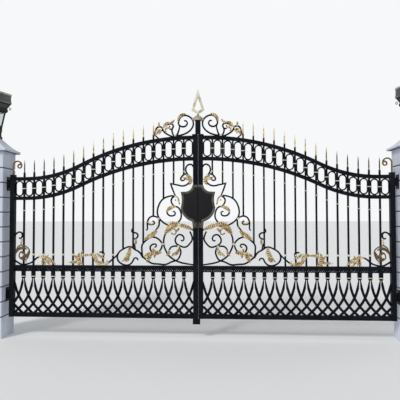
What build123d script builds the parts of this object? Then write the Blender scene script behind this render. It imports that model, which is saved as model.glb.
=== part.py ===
from build123d import *
from math import atan2, cos, degrees, pi, radians, sin, sqrt, tan
import os

# Wrought iron driveway gate between two coursed stone piers, in millimetres
# The origin is the middle of the left pier's foot; X runs along the gate, +Y is the garden side
# The left leaf is drawn in full and its twin is mirrored about the middle of the drive

# Bars and stiles of one leaf
bars_per_leaf = 17
bar_size = 18.0
bar_gap = 92.0
stile_width = 50.0
stile_depth = 50.0
rail_depth = 40.0
meeting_gap = 6.6
hinge_gap = 44.0

# Heights above the underside of the leaf
ground_clearance = 220.0
bottom_rail_height = 45.0
lock_rail_top = 558.0
lock_rail_height = 35.0
arch_rail_height = 38.0
top_rail_low = 1522.0
top_rail_high = 1957.0
band_rail_low = 1308.0
band_rail_high = 1728.0
hinge_stile_top = 1548.0
lower_bend_run = 590.0
flat_run = 130.0

# Piers
pier_width = 400.0
pier_depth = 280.0
pier_height = 2020.0
plain_base_height = 230.0
course_height = 161.0
joint_depth = 9.0
cap_overhang = 40.0
cap_edge = 26.0
cap_height = 165.0
set_back = 70.0

# Hinges
pin_radius = 7.0
pin_clearance = 0.1
knuckle_radius = 13.0
knuckle_height = 60.0
knuckle_play = 2.0
bracket_height = 150.0
bracket_plate = 8.0
bracket_arm = 10.0
bracket_depth = 70.0
arm_bevel = 0.6
pin_to_stile = 20.0
upper_hinge = 1450.0
lower_hinge = 238.0

# Ornament
ring_bar = 14.5
ring_depth = 16.0
ring_sides = 10
seat = 0.2
collar_height = 12.0
collar_wall = 3.0
collar_step = 12.0
collar_drop = 158.0
block_width = 30.0
block_depth = 26.0
block_bottom = 416.0
block_top = 499.0
block_collar_bottom = 434.0
rail_collar_bottom = 669.0
lattice_bar = 18.0
lattice_layer = 7.0
lattice_steps = 2
lattice_radius = 490.0
lattice_lean = 5.0
lattice_turn = 41.6
lattice_start = 7.0
spear_stub = 42.0
spear_length = 143.0
spear_width = 20.0
spear_depth = 12.0
spear_base = 10.0
spear_neck_half = 5.0
spear_neck_top = 18.0
spear_shoulder = 46.0
first_spear = 3
crook_shank = 104.0
crook_bend = 46.0
crook_bend_turn = 200.0
crook_curl = 22.0
crook_curl_turn = 190.0
scroll_bar = 18.0
bend_step = 40.0
crook_bar = 13.0
leaf_plate = 6.0
swing_clearance = 6.0
above_all = 2600.0

# Places worked out from the sizes above
leaf_width = 2 * stile_width + (bars_per_leaf + 1) * bar_gap + bars_per_leaf * bar_size
pier_face = pier_width / 2
pin_x = pier_face + hinge_gap - pin_to_stile
leaf_start = pier_face + hinge_gap
leaf_end = leaf_start + leaf_width
middle = leaf_end + meeting_gap / 2
inner_start = leaf_start + stile_width
inner_end = leaf_end - stile_width
bar_pitch = bar_size + bar_gap
leaf_front = -pier_depth / 2 + set_back
leaf_rear = leaf_front + stile_depth
leaf_mid = (leaf_front + leaf_rear) / 2
floor_line = ground_clearance
middle_plane = Plane.YZ.offset(middle)
scroll_depth = bar_size

os.makedirs("parts", exist_ok=True)


def bar_x(number):
    # the bars are counted from the meeting stile towards the hinge
    return inner_end - bar_gap - bar_size / 2 - number * bar_pitch


def arch_height(x, low, high):
    # two equal turns, one hollow and one round, join the low end to the crest
    run = inner_end - inner_start - flat_run
    turn = 2 * atan2(high - low, run)
    round_run = run - lower_bend_run
    from_crest = min(max(inner_end - x, 0.0), run)
    if from_crest <= round_run:
        radius = round_run / sin(turn)
        return high - radius + sqrt(radius**2 - from_crest**2)
    radius = lower_bend_run / sin(turn)
    return low + radius - sqrt(radius**2 - (run - from_crest) ** 2)


def arch_slope(x, low, high):
    return atan2(arch_height(x + 1, low, high) - arch_height(x - 1, low, high), 2)


def arch_line(low, high):
    # the same two turns as one line of tangent arcs, drawn from the crest to the hinge stile
    run = inner_end - inner_start - flat_run
    turn = 2 * atan2(high - low, run)
    round_part = JernArc(
        (inner_end, floor_line + high), (-1, 0), (run - lower_bend_run) / sin(turn), degrees(turn)
    )
    hollow_part = JernArc(round_part @ 1, round_part % 1, lower_bend_run / sin(turn), -degrees(turn))
    Line(hollow_part @ 1, (inner_start, floor_line + low))


def slab_plane(depth, centre_y=None):
    # an upright drawing plane whose sketch, extruded by depth, ends up centred on centre_y
    return Plane.XZ.offset(-((leaf_mid if centre_y is None else centre_y) + depth / 2))


def frame_rectangle(x_low, x_high, z_low, z_high, mode=Mode.ADD):
    # a rectangle by its sides, with heights above the underside of the leaf
    with Locations(((x_low + x_high) / 2, floor_line + (z_low + z_high) / 2)):
        Rectangle(x_high - x_low, z_high - z_low, mode=mode)


def arched_rail(low, high, height):
    with BuildPart() as rail:
        with BuildSketch(slab_plane(rail_depth)):
            with BuildLine():
                arch_line(low, high)
                arch_line(low - height, high - height)
                Line((inner_end, floor_line + high), (inner_end, floor_line + high - height))
                Line((inner_start, floor_line + low), (inner_start, floor_line + low - height))
            make_face()
        extrude(amount=rail_depth)
    return rail


def straight_rail(bottom, height):
    with BuildPart() as rail:
        with BuildSketch(slab_plane(rail_depth)):
            frame_rectangle(inner_start, inner_end, bottom, bottom + height)
        extrude(amount=rail_depth)
    return rail


left_top_rail = arched_rail(top_rail_low, top_rail_high, arch_rail_height)
left_band_rail = arched_rail(band_rail_low, band_rail_high, arch_rail_height)
left_lock_rail = straight_rail(lock_rail_top - lock_rail_height, lock_rail_height)
left_bottom_rail = straight_rail(0.0, bottom_rail_height)

# Upright bars, cut to length between the rails, each with a wider block at its foot
# Towards the shield the bars stop on the scrollwork, at these heights
bar_ends = [1540.0, 1436.0, 1277.0, 1090.0, 805.0, 748.0, 742.0]

with BuildPart() as left_bars:
    with BuildSketch(slab_plane(bar_size)):
        for number in range(bars_per_leaf):
            x = bar_x(number)
            head = arch_height(x, top_rail_low, top_rail_high)
            if number >= first_spear:
                head = head + spear_stub
            else:
                head = head - arch_rail_height / 2
            foot = block_bottom
            if number < len(bar_ends):
                foot = bar_ends[number]
                frame_rectangle(x - bar_size / 2, x + bar_size / 2, block_bottom, lock_rail_top)
            frame_rectangle(x - bar_size / 2, x + bar_size / 2, foot, head)
    extrude(amount=bar_size)
    with BuildSketch(slab_plane(block_depth)):
        for number in range(bars_per_leaf):
            x = bar_x(number)
            frame_rectangle(x - block_width / 2, x + block_width / 2, block_bottom, block_top)
    extrude(amount=block_depth)
    for rail in (left_top_rail, left_band_rail, left_lock_rail):
        add(rail.part, mode=Mode.SUBTRACT)


# Stiles; the hinge stile carries two knuckles on short lugs
cap_thickness = 15.0
cap_margin = 8.0
lug_thickness = 12.0

with BuildPart() as left_hinge_stile:
    with BuildSketch(slab_plane(stile_depth)):
        frame_rectangle(leaf_start, inner_start, 0.0, hinge_stile_top)
    extrude(amount=stile_depth)
    for height in (lower_hinge, upper_hinge):
        knuckle_base = Plane.XY.offset(floor_line + height - knuckle_height / 2)
        with BuildSketch(knuckle_base):
            with Locations((pin_x, leaf_rear)):
                Circle(knuckle_radius)
            with Locations(((pin_x + leaf_start) / 2, leaf_rear - lug_thickness / 2)):
                Rectangle(leaf_start - pin_x, lug_thickness)
        extrude(amount=knuckle_height)
        with BuildSketch(knuckle_base):
            with Locations((pin_x, leaf_rear)):
                Circle(pin_radius + pin_clearance)
        extrude(amount=knuckle_height, mode=Mode.SUBTRACT)

with BuildPart() as left_meeting_stile:
    with BuildSketch(slab_plane(stile_depth)):
        frame_rectangle(inner_end, leaf_end, 0.0, top_rail_high)
    extrude(amount=stile_depth)
    with BuildSketch(Plane.XY.offset(floor_line + top_rail_high)):
        with Locations(((inner_end - cap_margin + leaf_end) / 2, leaf_mid)):
            Rectangle(stile_width + cap_margin, stile_depth + cap_margin)
    extrude(amount=cap_thickness)


# Oval rings between the band rail and the top rail, one in each bay
ring_radius = bar_gap / 2 - seat


def bay_x(bay):
    return inner_end - bar_gap / 2 - bay * bar_pitch


def bay_middle(x):
    top_side = arch_height(x, top_rail_low, top_rail_high) - arch_rail_height
    return (top_side + arch_height(x, band_rail_low, band_rail_high)) / 2


def ring_outline(centre, half_straight, radius):
    # a round-ended slot with few sides, whose flats stand on the slot's own width
    step = 360.0 / ring_sides
    reach = radius / cos(radians(step / 2))
    corners = []
    for side in range(ring_sides):
        angle = radians(step * (side + 0.5))
        rise = half_straight if sin(angle) > 0 else -half_straight
        corners.append((centre[0] + reach * cos(angle), centre[1] + rise + reach * sin(angle)))
    return corners


with BuildPart() as left_ovals:
    with BuildSketch(slab_plane(ring_depth)):
        for bay in range(bars_per_leaf + 1):
            x = bay_x(bay)
            lean = arch_slope(x, top_rail_low, top_rail_high)
            top_side = arch_height(x, top_rail_low, top_rail_high) - arch_rail_height
            clear = top_side - arch_height(x, band_rail_low, band_rail_high)
            half_straight = clear / 2 - ring_radius / cos(lean) / cos(radians(180 / ring_sides)) - seat
            centre = (x, floor_line + bay_middle(x))
            Polygon(*ring_outline(centre, half_straight, ring_radius), align=None)
            Polygon(
                *ring_outline(centre, half_straight, ring_radius - ring_bar),
                align=None,
                mode=Mode.SUBTRACT,
            )
    extrude(amount=ring_depth)


# Collars: bands round each bar and its two rings, below the band rail and on the blocks;
# the outer bars have one over the lock rail as well
def collar(x, bottom, inner_half, inner_depth, wall=collar_wall):
    with Locations((x, leaf_mid, floor_line + bottom + collar_height / 2)):
        Box(2 * (inner_half + wall), inner_depth + 2 * collar_wall, collar_height)
        Box(2 * inner_half, inner_depth, collar_height, mode=Mode.SUBTRACT)


with BuildPart() as left_collars:
    for number in range(bars_per_leaf):
        x = bar_x(number)
        collar(x, bay_middle(x) - collar_height / 2, bar_size / 2 + seat + ring_bar, bar_size)
        under_band = arch_height(x, band_rail_low, band_rail_high) - collar_drop
        if number >= len(bar_ends) or under_band > bar_ends[number]:
            collar(x, under_band, bar_size / 2, bar_size, collar_step)
        if number >= len(bar_ends):
            collar(x, rail_collar_bottom, bar_size / 2, bar_size, collar_step)
        collar(x, block_collar_bottom, block_width / 2, block_depth)


# Interlaced lattice below the blocks: every foot splits into two flat bars that curve apart
# The bars that lean one way lie in front of those that lean the other way
def lattice_strip(x, side):
    centre = (x + side * (lattice_start + lattice_radius * cos(radians(lattice_lean))), block_bottom)
    near_side = []
    far_side = []
    for step in range(lattice_steps + 1):
        angle = radians(lattice_lean + lattice_turn * step / lattice_steps)
        for edge, out in ((near_side, -lattice_bar / 2), (far_side, lattice_bar / 2)):
            reach = lattice_radius + out
            drop = reach * sin(angle) - lattice_radius * sin(radians(lattice_lean))
            edge.append((centre[0] - side * reach * cos(angle), centre[1] - drop))
    for edge in (near_side, far_side):
        fall = edge[-1][1]
        edge.append((edge[-1][0] + side * fall * tan(angle), 0.0))
    outline = near_side + far_side[::-1]
    Polygon(*[(px, floor_line + pz) for px, pz in outline], align=None)


with BuildPart() as left_lattice:
    for side in (-1, 1):
        with BuildSketch(slab_plane(lattice_layer, leaf_mid + side * (lattice_layer + seat) / 2)):
            for number in range(-1, bars_per_leaf + 1):
                lattice_strip(bar_x(number), side)
            frame_rectangle(inner_start, inner_end, bottom_rail_height, block_bottom, Mode.INTERSECT)
        extrude(amount=lattice_layer)


# Spears on the bars, from the third scroll outwards
with BuildPart() as left_spears:
    with BuildSketch(slab_plane(spear_depth)):
        for number in range(first_spear, bars_per_leaf):
            x = bar_x(number)
            foot = floor_line + arch_height(x, top_rail_low, top_rail_high) + spear_stub
            one_side = [
                (spear_width / 2, 0.0),
                (spear_width / 2, spear_base),
                (spear_neck_half, spear_neck_top),
                (spear_width / 2, spear_shoulder),
            ]
            outline = [(x + out, foot + up) for out, up in one_side]
            outline.append((x, foot + spear_length))
            outline.extend((x - out, foot + up) for out, up in reversed(one_side))
            Polygon(*outline, align=None)
    extrude(amount=spear_depth)


# Scrolls are square bars bent through the points given, arc after arc without a kink
# Their points are measured from the middle of the drive and from the underside of the leaf
def bar_along(edges, width):
    # both sides of a bar, walked along its middle line in short straight steps
    near_side = []
    far_side = []
    for edge in edges:
        turn = edge.length / edge.radius if edge.geom_type == GeomType.CIRCLE else 0.0
        steps = max(1, round(degrees(turn) / bend_step))
        for step in range(steps + 1):
            place = edge @ (step / steps)
            way = edge % (step / steps)
            if step > 0 or edge is edges[0]:
                near_side.append((place.X - way.Y * width / 2, place.Y + way.X * width / 2))
                far_side.append((place.X + way.Y * width / 2, place.Y - way.X * width / 2))
    Polygon(*(near_side + far_side[::-1]), align=None)


def bent_bar(start, heading, *points):
    way = (cos(radians(heading)), sin(radians(heading)))
    here = (middle + start[0], floor_line + start[1])
    arcs = []
    with BuildLine(mode=Mode.PRIVATE):
        for x, z in points:
            arc = TangentArc(here, (middle + x, floor_line + z), tangent=way)
            arcs.append(arc)
            here = arc @ 1
            way = arc % 1
    bar_along(arcs, scroll_bar)


def below_arch():
    # everything under the top of the arched rail, as a cutter for the crest scrolls
    with BuildSketch() as region:
        with BuildLine():
            arch_line(top_rail_low, top_rail_high)
            Line((inner_end, floor_line + top_rail_high), (inner_end, floor_line))
            Line((inner_start, floor_line + top_rail_low), (inner_start, floor_line))
            Line((inner_start, floor_line), (inner_end, floor_line))
        make_face()
    return region.sketch


with BuildPart() as left_crest_scrolls:
    with BuildSketch(slab_plane(scroll_depth)):
        # the great scroll beside the post, its stem, and the two that follow it down the arch
        bent_bar(
            (-262, 1953), 8, (-190, 1965), (-120, 1990), (-62, 2045), (-50, 2100), (-74, 2150),
            (-130, 2180), (-190, 2157), (-211, 2108), (-195, 2068), (-155, 2057), (-118, 2084),
            (-126, 2118), (-152, 2118),
        )
        bent_bar((-241, 1955), 40, (-215, 1995), (-203, 2035), (-207, 2082))
        bent_bar(
            (-256, 1953), 130, (-280, 2000), (-272, 2050), (-302, 2090), (-346, 2082), (-367, 2050),
        )
        bent_bar((-277, 2036), 215, (-298, 2032), (-311, 2050), (-302, 2068))
        bent_bar(
            (-266, 1951), 172, (-310, 1965), (-350, 1988), (-385, 2035), (-422, 2060),
            (-456, 2034), (-468, 1990), (-454, 1954), (-424, 1930),
        )
        bent_bar((-376, 2026), 215, (-402, 2018), (-426, 2034))
        add(below_arch(), mode=Mode.SUBTRACT)
    extrude(amount=scroll_depth)
    add(left_bars.part, mode=Mode.SUBTRACT)
    add(left_spears.part, mode=Mode.SUBTRACT)

# Scrollwork round the shield and along the lock rail
with BuildPart() as left_panel_scrolls:
    with BuildSketch(slab_plane(scroll_depth)):
        # over the shield: a crooked bar with its curl, the strut under it and the loop below
        bent_bar(
            (-57, 1618), 92, (-93, 1648), (-131, 1610), (-122, 1556), (-92, 1500), (-100, 1448),
            (-142, 1420), (-200, 1420), (-250, 1431), (-302, 1448),
        )
        bent_bar(
            (-126, 1546), 185, (-161, 1532), (-186, 1500), (-168, 1473), (-146, 1484), (-154, 1500),
        )
        bent_bar((-299, 1451), -74, (-245, 1308))
        bent_bar((-254, 1303), 195, (-284, 1280), (-289, 1245), (-268, 1208), (-234, 1190))
        bent_bar((-258, 1304), 5, (-226, 1292), (-209, 1255), (-197, 1216))
        # the great spiral beside the shield
        bent_bar(
            (-262, 1311), 181, (-341, 1296), (-414, 1232), (-440, 1150), (-418, 1065),
            (-350, 1006), (-287, 996), (-222, 1021), (-181, 1095), (-201, 1167), (-250, 1194),
            (-304, 1184), (-336, 1140), (-303, 1095), (-262, 1097), (-248, 1128), (-274, 1136),
        )
        # the smaller scroll that hangs on its left, and the tail down to the next leaf
        bent_bar(
            (-422, 1060), 130, (-485, 1090), (-535, 1062), (-550, 1005), (-548, 960), (-567, 938),
        )
        bent_bar((-548, 1022), -60, (-519, 1001), (-484, 1003), (-475, 1028), (-497, 1036))
        bent_bar((-422, 1062), -82, (-421, 1005), (-440, 962), (-478, 912))
        # from the foot of the shield over and down to the lock rail
        bent_bar(
            (-50, 936), 140, (-146, 985), (-222, 1000), (-300, 972), (-349, 905), (-369, 850),
            (-372, 795), (-360, 745), (-336, 695), (-296, 647), (-243, 614), (-150, 584), (-48, 569),
        )
        # the spiral under it and the ring that closes below
        bent_bar(
            (-90, 927), -60, (-66, 870), (-75, 815), (-110, 773), (-163, 759), (-222, 785),
            (-246, 838), (-222, 882), (-182, 889), (-154, 858), (-161, 829), (-184, 836),
        )
        bent_bar((-211, 766), 172, (-260, 768), (-303, 742), (-316, 705), (-336, 680))
        bent_bar(
            (-386, 790), 115, (-422, 838), (-478, 864), (-540, 848), (-588, 806), (-610, 745),
            (-608, 690), (-584, 640), (-530, 599), (-465, 577), (-390, 571), (-315, 585),
            (-250, 610), (-208, 640), (-188, 690), (-194, 738), (-211, 766),
        )
        bent_bar(
            (-387, 788), -95, (-402, 735), (-438, 702), (-487, 702), (-518, 740), (-502, 780),
            (-468, 790), (-453, 766), (-474, 758),
        )
        # the round scroll on the lock rail and the tendril that climbs the bar over it
        bent_bar(
            (-608, 655), 103, (-659, 717), (-705, 746), (-765, 757), (-840, 718), (-877, 650),
            (-850, 590), (-785, 562), (-722, 585), (-698, 625), (-675, 641), (-654, 612),
        )
        bent_bar(
            (-697, 846), -5, (-667, 854), (-653, 882), (-672, 908), (-705, 915), (-718, 940),
            (-708, 962),
        )
        bent_bar((-680, 735), 100, (-697, 800))
        # the hook and the wave beside the hinge stile
        bent_bar((-2020, 870), 70, (-1975, 916), (-1932, 885), (-1946, 852), (-1966, 862))
        bent_bar(
            (-2020, 612), -35, (-1958, 574), (-1900, 565), (-1847, 578), (-1797, 610),
            (-1747, 646), (-1690, 652),
        )
        for number in range(bars_per_leaf):
            x = bar_x(number)
            foot = 0.0 if number >= len(bar_ends) else bar_ends[number]
            frame_rectangle(x - bar_size / 2, x + bar_size / 2, foot, band_rail_high, Mode.SUBTRACT)
        frame_rectangle(inner_start, inner_end, lock_rail_top, band_rail_high, Mode.INTERSECT)
    extrude(amount=scroll_depth)
    add(left_collars.part, mode=Mode.SUBTRACT)

# Gilded acanthus leaves, plates that lie on the front of the scrolls
leaf_front_y = leaf_mid - scroll_depth / 2 - leaf_plate / 2
leaf_lobes = 3
leaf_notch = 0.62
leaf_stalk = 0.08
leaf_swell = 0.8


def acanthus(start, heading, length, width, turn=0.0):
    # a bent midrib with lobes that grow and shrink along it, drawn up one side and down the other
    near_side = []
    far_side = []
    steps = 2 * leaf_lobes
    x, z = start
    for step in range(steps + 1):
        share = step / steps
        way = radians(heading + turn * share)
        belly = leaf_stalk + (1 - 2 * leaf_stalk) * share
        reach = width / 2 * sin(pi * belly**leaf_swell)
        if step % 2 == 0:
            reach = reach * leaf_notch
        near_side.append((x - reach * sin(way), z + reach * cos(way)))
        far_side.append((x + reach * sin(way), z - reach * cos(way)))
        x = x + length / steps * cos(way)
        z = z + length / steps * sin(way)
    outline = near_side + [(x, z)] + far_side[::-1]
    Polygon(*[(middle + px, floor_line + pz) for px, pz in outline], align=None)


with BuildPart() as left_gilt_leaves:
    with BuildSketch(slab_plane(leaf_plate, leaf_front_y)):
        # on the crest
        acanthus((-148, 2186), 190, 104, 28, 45)
        acanthus((-356, 2070), 65, 62, 30, -50)
        acanthus((-312, 2094), 5, 66, 16, 50)
        acanthus((-422, 2058), 90, 46, 20)
        # beside the shield and on the great spiral
        acanthus((-122, 1522), -15, 124, 46, -135)
        acanthus((-240, 1192), 175, 132, 40, 75)
        acanthus((-62, 943), 150, 316, 78, 92)
        acanthus((-446, 932), 222, 146, 50, -18)
        # in the rings under it
        acanthus((-396, 702), 190, 150, 50, -10)
        acanthus((-500, 706), 235, 118, 50, 20)
        acanthus((-336, 668), 40, 66, 24, 30)
        acanthus((-206, 752), -100, 96, 42, -30)
        acanthus((-742, 756), -82, 186, 56, -78)
        acanthus((-676, 848), -80, 74, 28, -20)
        # along the lock rail
        acanthus((-1752, 655), 8, 200, 46, -60)
        acanthus((-1704, 572), 62, 118, 34, -10)
        acanthus((-1626, 610), -15, 90, 28, -30)
        acanthus((-1294, 566), 125, 132, 46, -10)
        acanthus((-1336, 566), 150, 96, 34, 20)
        acanthus((-1330, 640), 30, 186, 24, -42)
        acanthus((-1168, 662), 0, 156, 54, -60)
        acanthus((-1120, 606), -45, 176, 24, 80)
        acanthus((-1934, 836), -110, 158, 62, 20)
        acanthus((-1950, 772), -38, 104, 18, -6)
        frame_rectangle(inner_start, inner_end, lock_rail_top, above_all, Mode.INTERSECT)
    extrude(amount=leaf_plate)
    add(left_collars.part, mode=Mode.SUBTRACT)


# Shepherd's crook on top of the hinge stile
with BuildPart() as left_crook:
    with BuildSketch(slab_plane(scroll_depth)):
        crook_x = leaf_start + stile_width / 2
        crook_foot = floor_line + hinge_stile_top
        with BuildLine(mode=Mode.PRIVATE):
            shank = Line((crook_x, crook_foot), (crook_x, crook_foot + crook_shank))
            bend = JernArc(shank @ 1, (0, 1), crook_bend, -crook_bend_turn)
            curl = JernArc(bend @ 1, bend % 1, crook_curl, -crook_curl_turn)
        bar_along((shank, bend, curl), crook_bar)
    extrude(amount=scroll_depth)


# Shield half: a plate with a raised rim, in front of the meeting stile
shield_plate = 8.0
shield_rim = 4.0
shield_rim_width = 26.0
shield_top = 1424.0
shield_crown_half = 58.0
shield_ear_height = 1350.0
shield_ear_half = 186.0
shield_ear_length = 43.0
shield_waist = (-173.0, 1255.0)
shield_hip = (-186.0, 1182.0)
shield_flank = (-142.0, 1082.0)
shield_point = (-62.0, 1032.0)
shield_foot_half = 54.0
shield_foot = 966.0
shield_hollow = 0.3


def shield_outline():
    edge = -meeting_gap / 2
    crown = (-shield_crown_half, shield_top)
    ear_start = (shield_ear_length - shield_ear_half, shield_ear_height)
    ear = (-shield_ear_half, shield_ear_height)
    hollow_x = crown[0] + shield_hollow * (ear_start[0] - crown[0])
    hollow_z = ear_start[1] + shield_hollow * (crown[1] - ear_start[1])
    with BuildSketch() as outline:
        with BuildLine():
            Line((edge, shield_top), crown)
            ThreePointArc(crown, (hollow_x, hollow_z), ear_start)
            Line(ear_start, ear)
            ThreePointArc(ear, shield_waist, shield_hip)
            ThreePointArc(shield_hip, shield_flank, shield_point)
            Line(shield_point, (-shield_foot_half, shield_foot))
            Line((-shield_foot_half, shield_foot), (edge, shield_foot))
            Line((edge, shield_foot), (edge, shield_top))
        make_face()
    return outline.sketch


with BuildPart() as left_shield:
    shield_back = Plane(origin=(middle, leaf_front, floor_line), x_dir=(1, 0, 0), z_dir=(0, -1, 0))
    with BuildSketch(shield_back):
        add(shield_outline())
    extrude(amount=shield_plate)
    with BuildSketch(shield_back.offset(shield_plate)):
        add(shield_outline())
        offset(amount=-shield_rim_width, mode=Mode.SUBTRACT)
    extrude(amount=shield_rim)


# Centre post, finial and foot, all carried by the left leaf's meeting stile
post_width = 55.0
post_top = 2130.0
plate_half = 42.0
plate_thickness = 15.0
finial_foot = 57.0
finial_shoulder = 90.0
finial_half = 67.0
finial_tip = 320.0
finial_bar = 18.0
finial_stem = 16.0
post_bottom = top_rail_high + cap_thickness

with BuildPart() as centre_post:
    with BuildSketch(slab_plane(post_width)):
        half = post_width / 2
        frame_rectangle(middle - half, middle + half, post_bottom, post_top)
        undercut = post_bottom + swing_clearance
        frame_rectangle(leaf_end, middle + half, post_bottom, undercut, Mode.SUBTRACT)
    extrude(amount=post_width)
    with BuildSketch(slab_plane(post_width + 2 * cap_margin)):
        frame_rectangle(middle - plate_half, middle + plate_half, post_top, post_top + plate_thickness)
    extrude(amount=post_width + 2 * cap_margin)

with BuildPart() as finial:
    with BuildSketch(slab_plane(scroll_depth)):
        base = floor_line + post_top + plate_thickness
        with BuildLine():
            Polyline(
                (middle, base + finial_foot),
                (middle - finial_half, base + finial_shoulder),
                (middle, base + finial_tip),
                (middle + finial_half, base + finial_shoulder),
                close=True,
            )
        make_face()
        offset(amount=-finial_bar, kind=Kind.INTERSECTION, mode=Mode.SUBTRACT)
        with Locations((middle, base + (finial_foot + finial_bar / 2) / 2)):
            Rectangle(finial_stem, finial_foot + finial_bar / 2)
    extrude(amount=scroll_depth)

foot_left = 57.0
foot_right = 20.0
foot_drop = 58.0
with BuildPart() as centre_foot:
    with BuildSketch(slab_plane(stile_depth)):
        frame_rectangle(middle - foot_left, middle + foot_right, -foot_drop, 0.0)
        frame_rectangle(leaf_end, middle + foot_right, -swing_clearance, 0.0, Mode.SUBTRACT)
    extrude(amount=stile_depth)


# Pier: plain base and coursed shaft with V joints on all four sides
def coursed_side(width, plane):
    half = width / 2
    heights = []
    z = plain_base_height
    while z < pier_height - course_height / 2:
        heights.append(z)
        z = z + course_height
    right_side = [(half, 0.0)]
    for height in heights:
        right_side.append((half, height - joint_depth))
        right_side.append((half - joint_depth, height))
        right_side.append((half, height + joint_depth))
    right_side.append((half, pier_height))
    left_side = [(-x, z) for x, z in reversed(right_side)]
    with BuildSketch(plane) as side:
        Polygon(*(right_side + left_side), align=None)
    return side.sketch


with BuildPart() as left_pier:
    extrude(coursed_side(pier_width, Plane.XZ), amount=pier_depth / 2, both=True)
    extrude(coursed_side(pier_depth, Plane.YZ), amount=pier_width / 2, both=True, mode=Mode.INTERSECT)


# Cap: a thin edge and a hollow slope on each side
cap_neck_share = 0.16
cap_hollow = 0.12
cap_hollow_height = 0.34


def cap_side(width, plane):
    half = width / 2 + cap_overhang
    neck = width * cap_neck_share
    rise = cap_height - cap_edge
    edge_top = pier_height + cap_edge
    top = pier_height + cap_height
    hollow = ((half + neck) / 2 - rise * cap_hollow, edge_top + rise * cap_hollow_height)
    with BuildSketch(plane) as side:
        with BuildLine():
            Line((-half, pier_height), (half, pier_height))
            Line((half, pier_height), (half, edge_top))
            ThreePointArc((half, edge_top), hollow, (neck, top))
            Line((neck, top), (-neck, top))
            ThreePointArc((-neck, top), (-hollow[0], hollow[1]), (-half, edge_top))
            Line((-half, edge_top), (-half, pier_height))
        make_face()
    return side.sketch


with BuildPart() as left_pier_cap:
    across = pier_depth / 2 + cap_overhang
    along = pier_width / 2 + cap_overhang
    extrude(cap_side(pier_width, Plane.XZ), amount=across, both=True)
    extrude(cap_side(pier_depth, Plane.YZ), amount=along, both=True, mode=Mode.INTERSECT)

# Lantern on the cap: foot, stem, tapered glazed body and a square hood
lantern_base = pier_height + cap_height
stem_height = 120.0
body_height = 170.0
body_low = 84.0
body_high = 160.0
frame_bar = 9.0
hood_width = 290.0
hood_height = 115.0
hood_gap = 70.0
hood_skirt = 20.0
hood_rim = 40.0
roof_height = 60.0
roof_lean = 60.0
stem_width = 26.0
foot_width = 70.0
foot_height = 14.0

with BuildPart() as left_lantern_glass:
    glass_low = body_low - 2 * frame_bar
    glass_high = body_high - 2 * frame_bar
    glass_height = body_height - frame_bar
    glass_inset = (glass_high - glass_low) / 2
    with Locations((0, 0, lantern_base + stem_height + frame_bar + glass_height / 2)):
        Wedge(
            glass_high, glass_height, glass_high,
            glass_inset, glass_inset, glass_high - glass_inset, glass_high - glass_inset,
            rotation=(-90, 0, 0),
        )

with BuildPart() as left_lantern:
    body_base = Plane.XY.offset(lantern_base + stem_height)
    body_top = body_base.offset(body_height)
    hood_base = body_top.offset(hood_gap)
    with BuildSketch(Plane.XY.offset(lantern_base)):
        Rectangle(foot_width, foot_width)
    extrude(amount=foot_height)
    with BuildSketch(Plane.XY.offset(lantern_base + foot_height)):
        Rectangle(stem_width, stem_width)
    extrude(amount=stem_height - foot_height)
    with BuildSketch(body_base):
        Rectangle(body_low, body_low)
    extrude(amount=frame_bar)
    for side_x in (-1, 1):
        for side_y in (-1, 1):
            low = (body_low - frame_bar) / 2
            high = (body_high - frame_bar) / 2
            with BuildSketch(body_base):
                with Locations((side_x * low, side_y * low)):
                    Rectangle(frame_bar, frame_bar)
            with BuildSketch(body_top):
                with Locations((side_x * high, side_y * high)):
                    Rectangle(frame_bar, frame_bar)
            loft(ruled=True)
    skirt_low = body_high + hood_skirt
    skirt_high = hood_width - hood_rim
    skirt_inset = (skirt_high - skirt_low) / 2
    with Locations((0, 0, lantern_base + stem_height + body_height + hood_gap / 2)):
        Wedge(
            skirt_high, hood_gap, skirt_high,
            skirt_inset, skirt_inset, skirt_high - skirt_inset, skirt_high - skirt_inset,
            rotation=(-90, 0, 0),
        )
    with BuildSketch(hood_base):
        Rectangle(hood_width, hood_width)
    extrude(amount=hood_height)
    with BuildSketch(hood_base.offset(hood_height)):
        Rectangle(hood_width, hood_width)
    extrude(amount=roof_height, taper=roof_lean)


# Hinge brackets: a wall plate with two arms and a pin through them, at two heights
with BuildPart() as left_hinge_brackets:
    for height in (lower_hinge, upper_hinge):
        base = floor_line + height - bracket_height / 2
        with BuildSketch(Plane.XY.offset(base)):
            with Locations((pier_face + bracket_plate / 2, leaf_rear)):
                Rectangle(bracket_plate, bracket_depth)
        extrude(amount=bracket_height)
        arm_end = pin_x + knuckle_radius
        bevel = knuckle_radius * arm_bevel
        gap = knuckle_height / 2 + knuckle_play
        for arm_bottom in (floor_line + height + gap, floor_line + height - gap - bracket_arm):
            with BuildSketch(Plane.XY.offset(arm_bottom)):
                Polygon(
                    (pier_face, leaf_rear - knuckle_radius),
                    (arm_end - bevel, leaf_rear - knuckle_radius),
                    (arm_end, leaf_rear - knuckle_radius + bevel),
                    (arm_end, leaf_rear + knuckle_radius - bevel),
                    (arm_end - bevel, leaf_rear + knuckle_radius),
                    (pier_face, leaf_rear + knuckle_radius),
                    align=None,
                )
            extrude(amount=bracket_arm)
        with BuildSketch(Plane.XY.offset(floor_line + height - gap - bracket_arm)):
            with Locations((pin_x, leaf_rear)):
                Circle(pin_radius)
        extrude(amount=2 * (gap + bracket_arm))


def save(piece, label):
    piece.label = label
    export_step(piece, f"parts/{label}.step")


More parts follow.
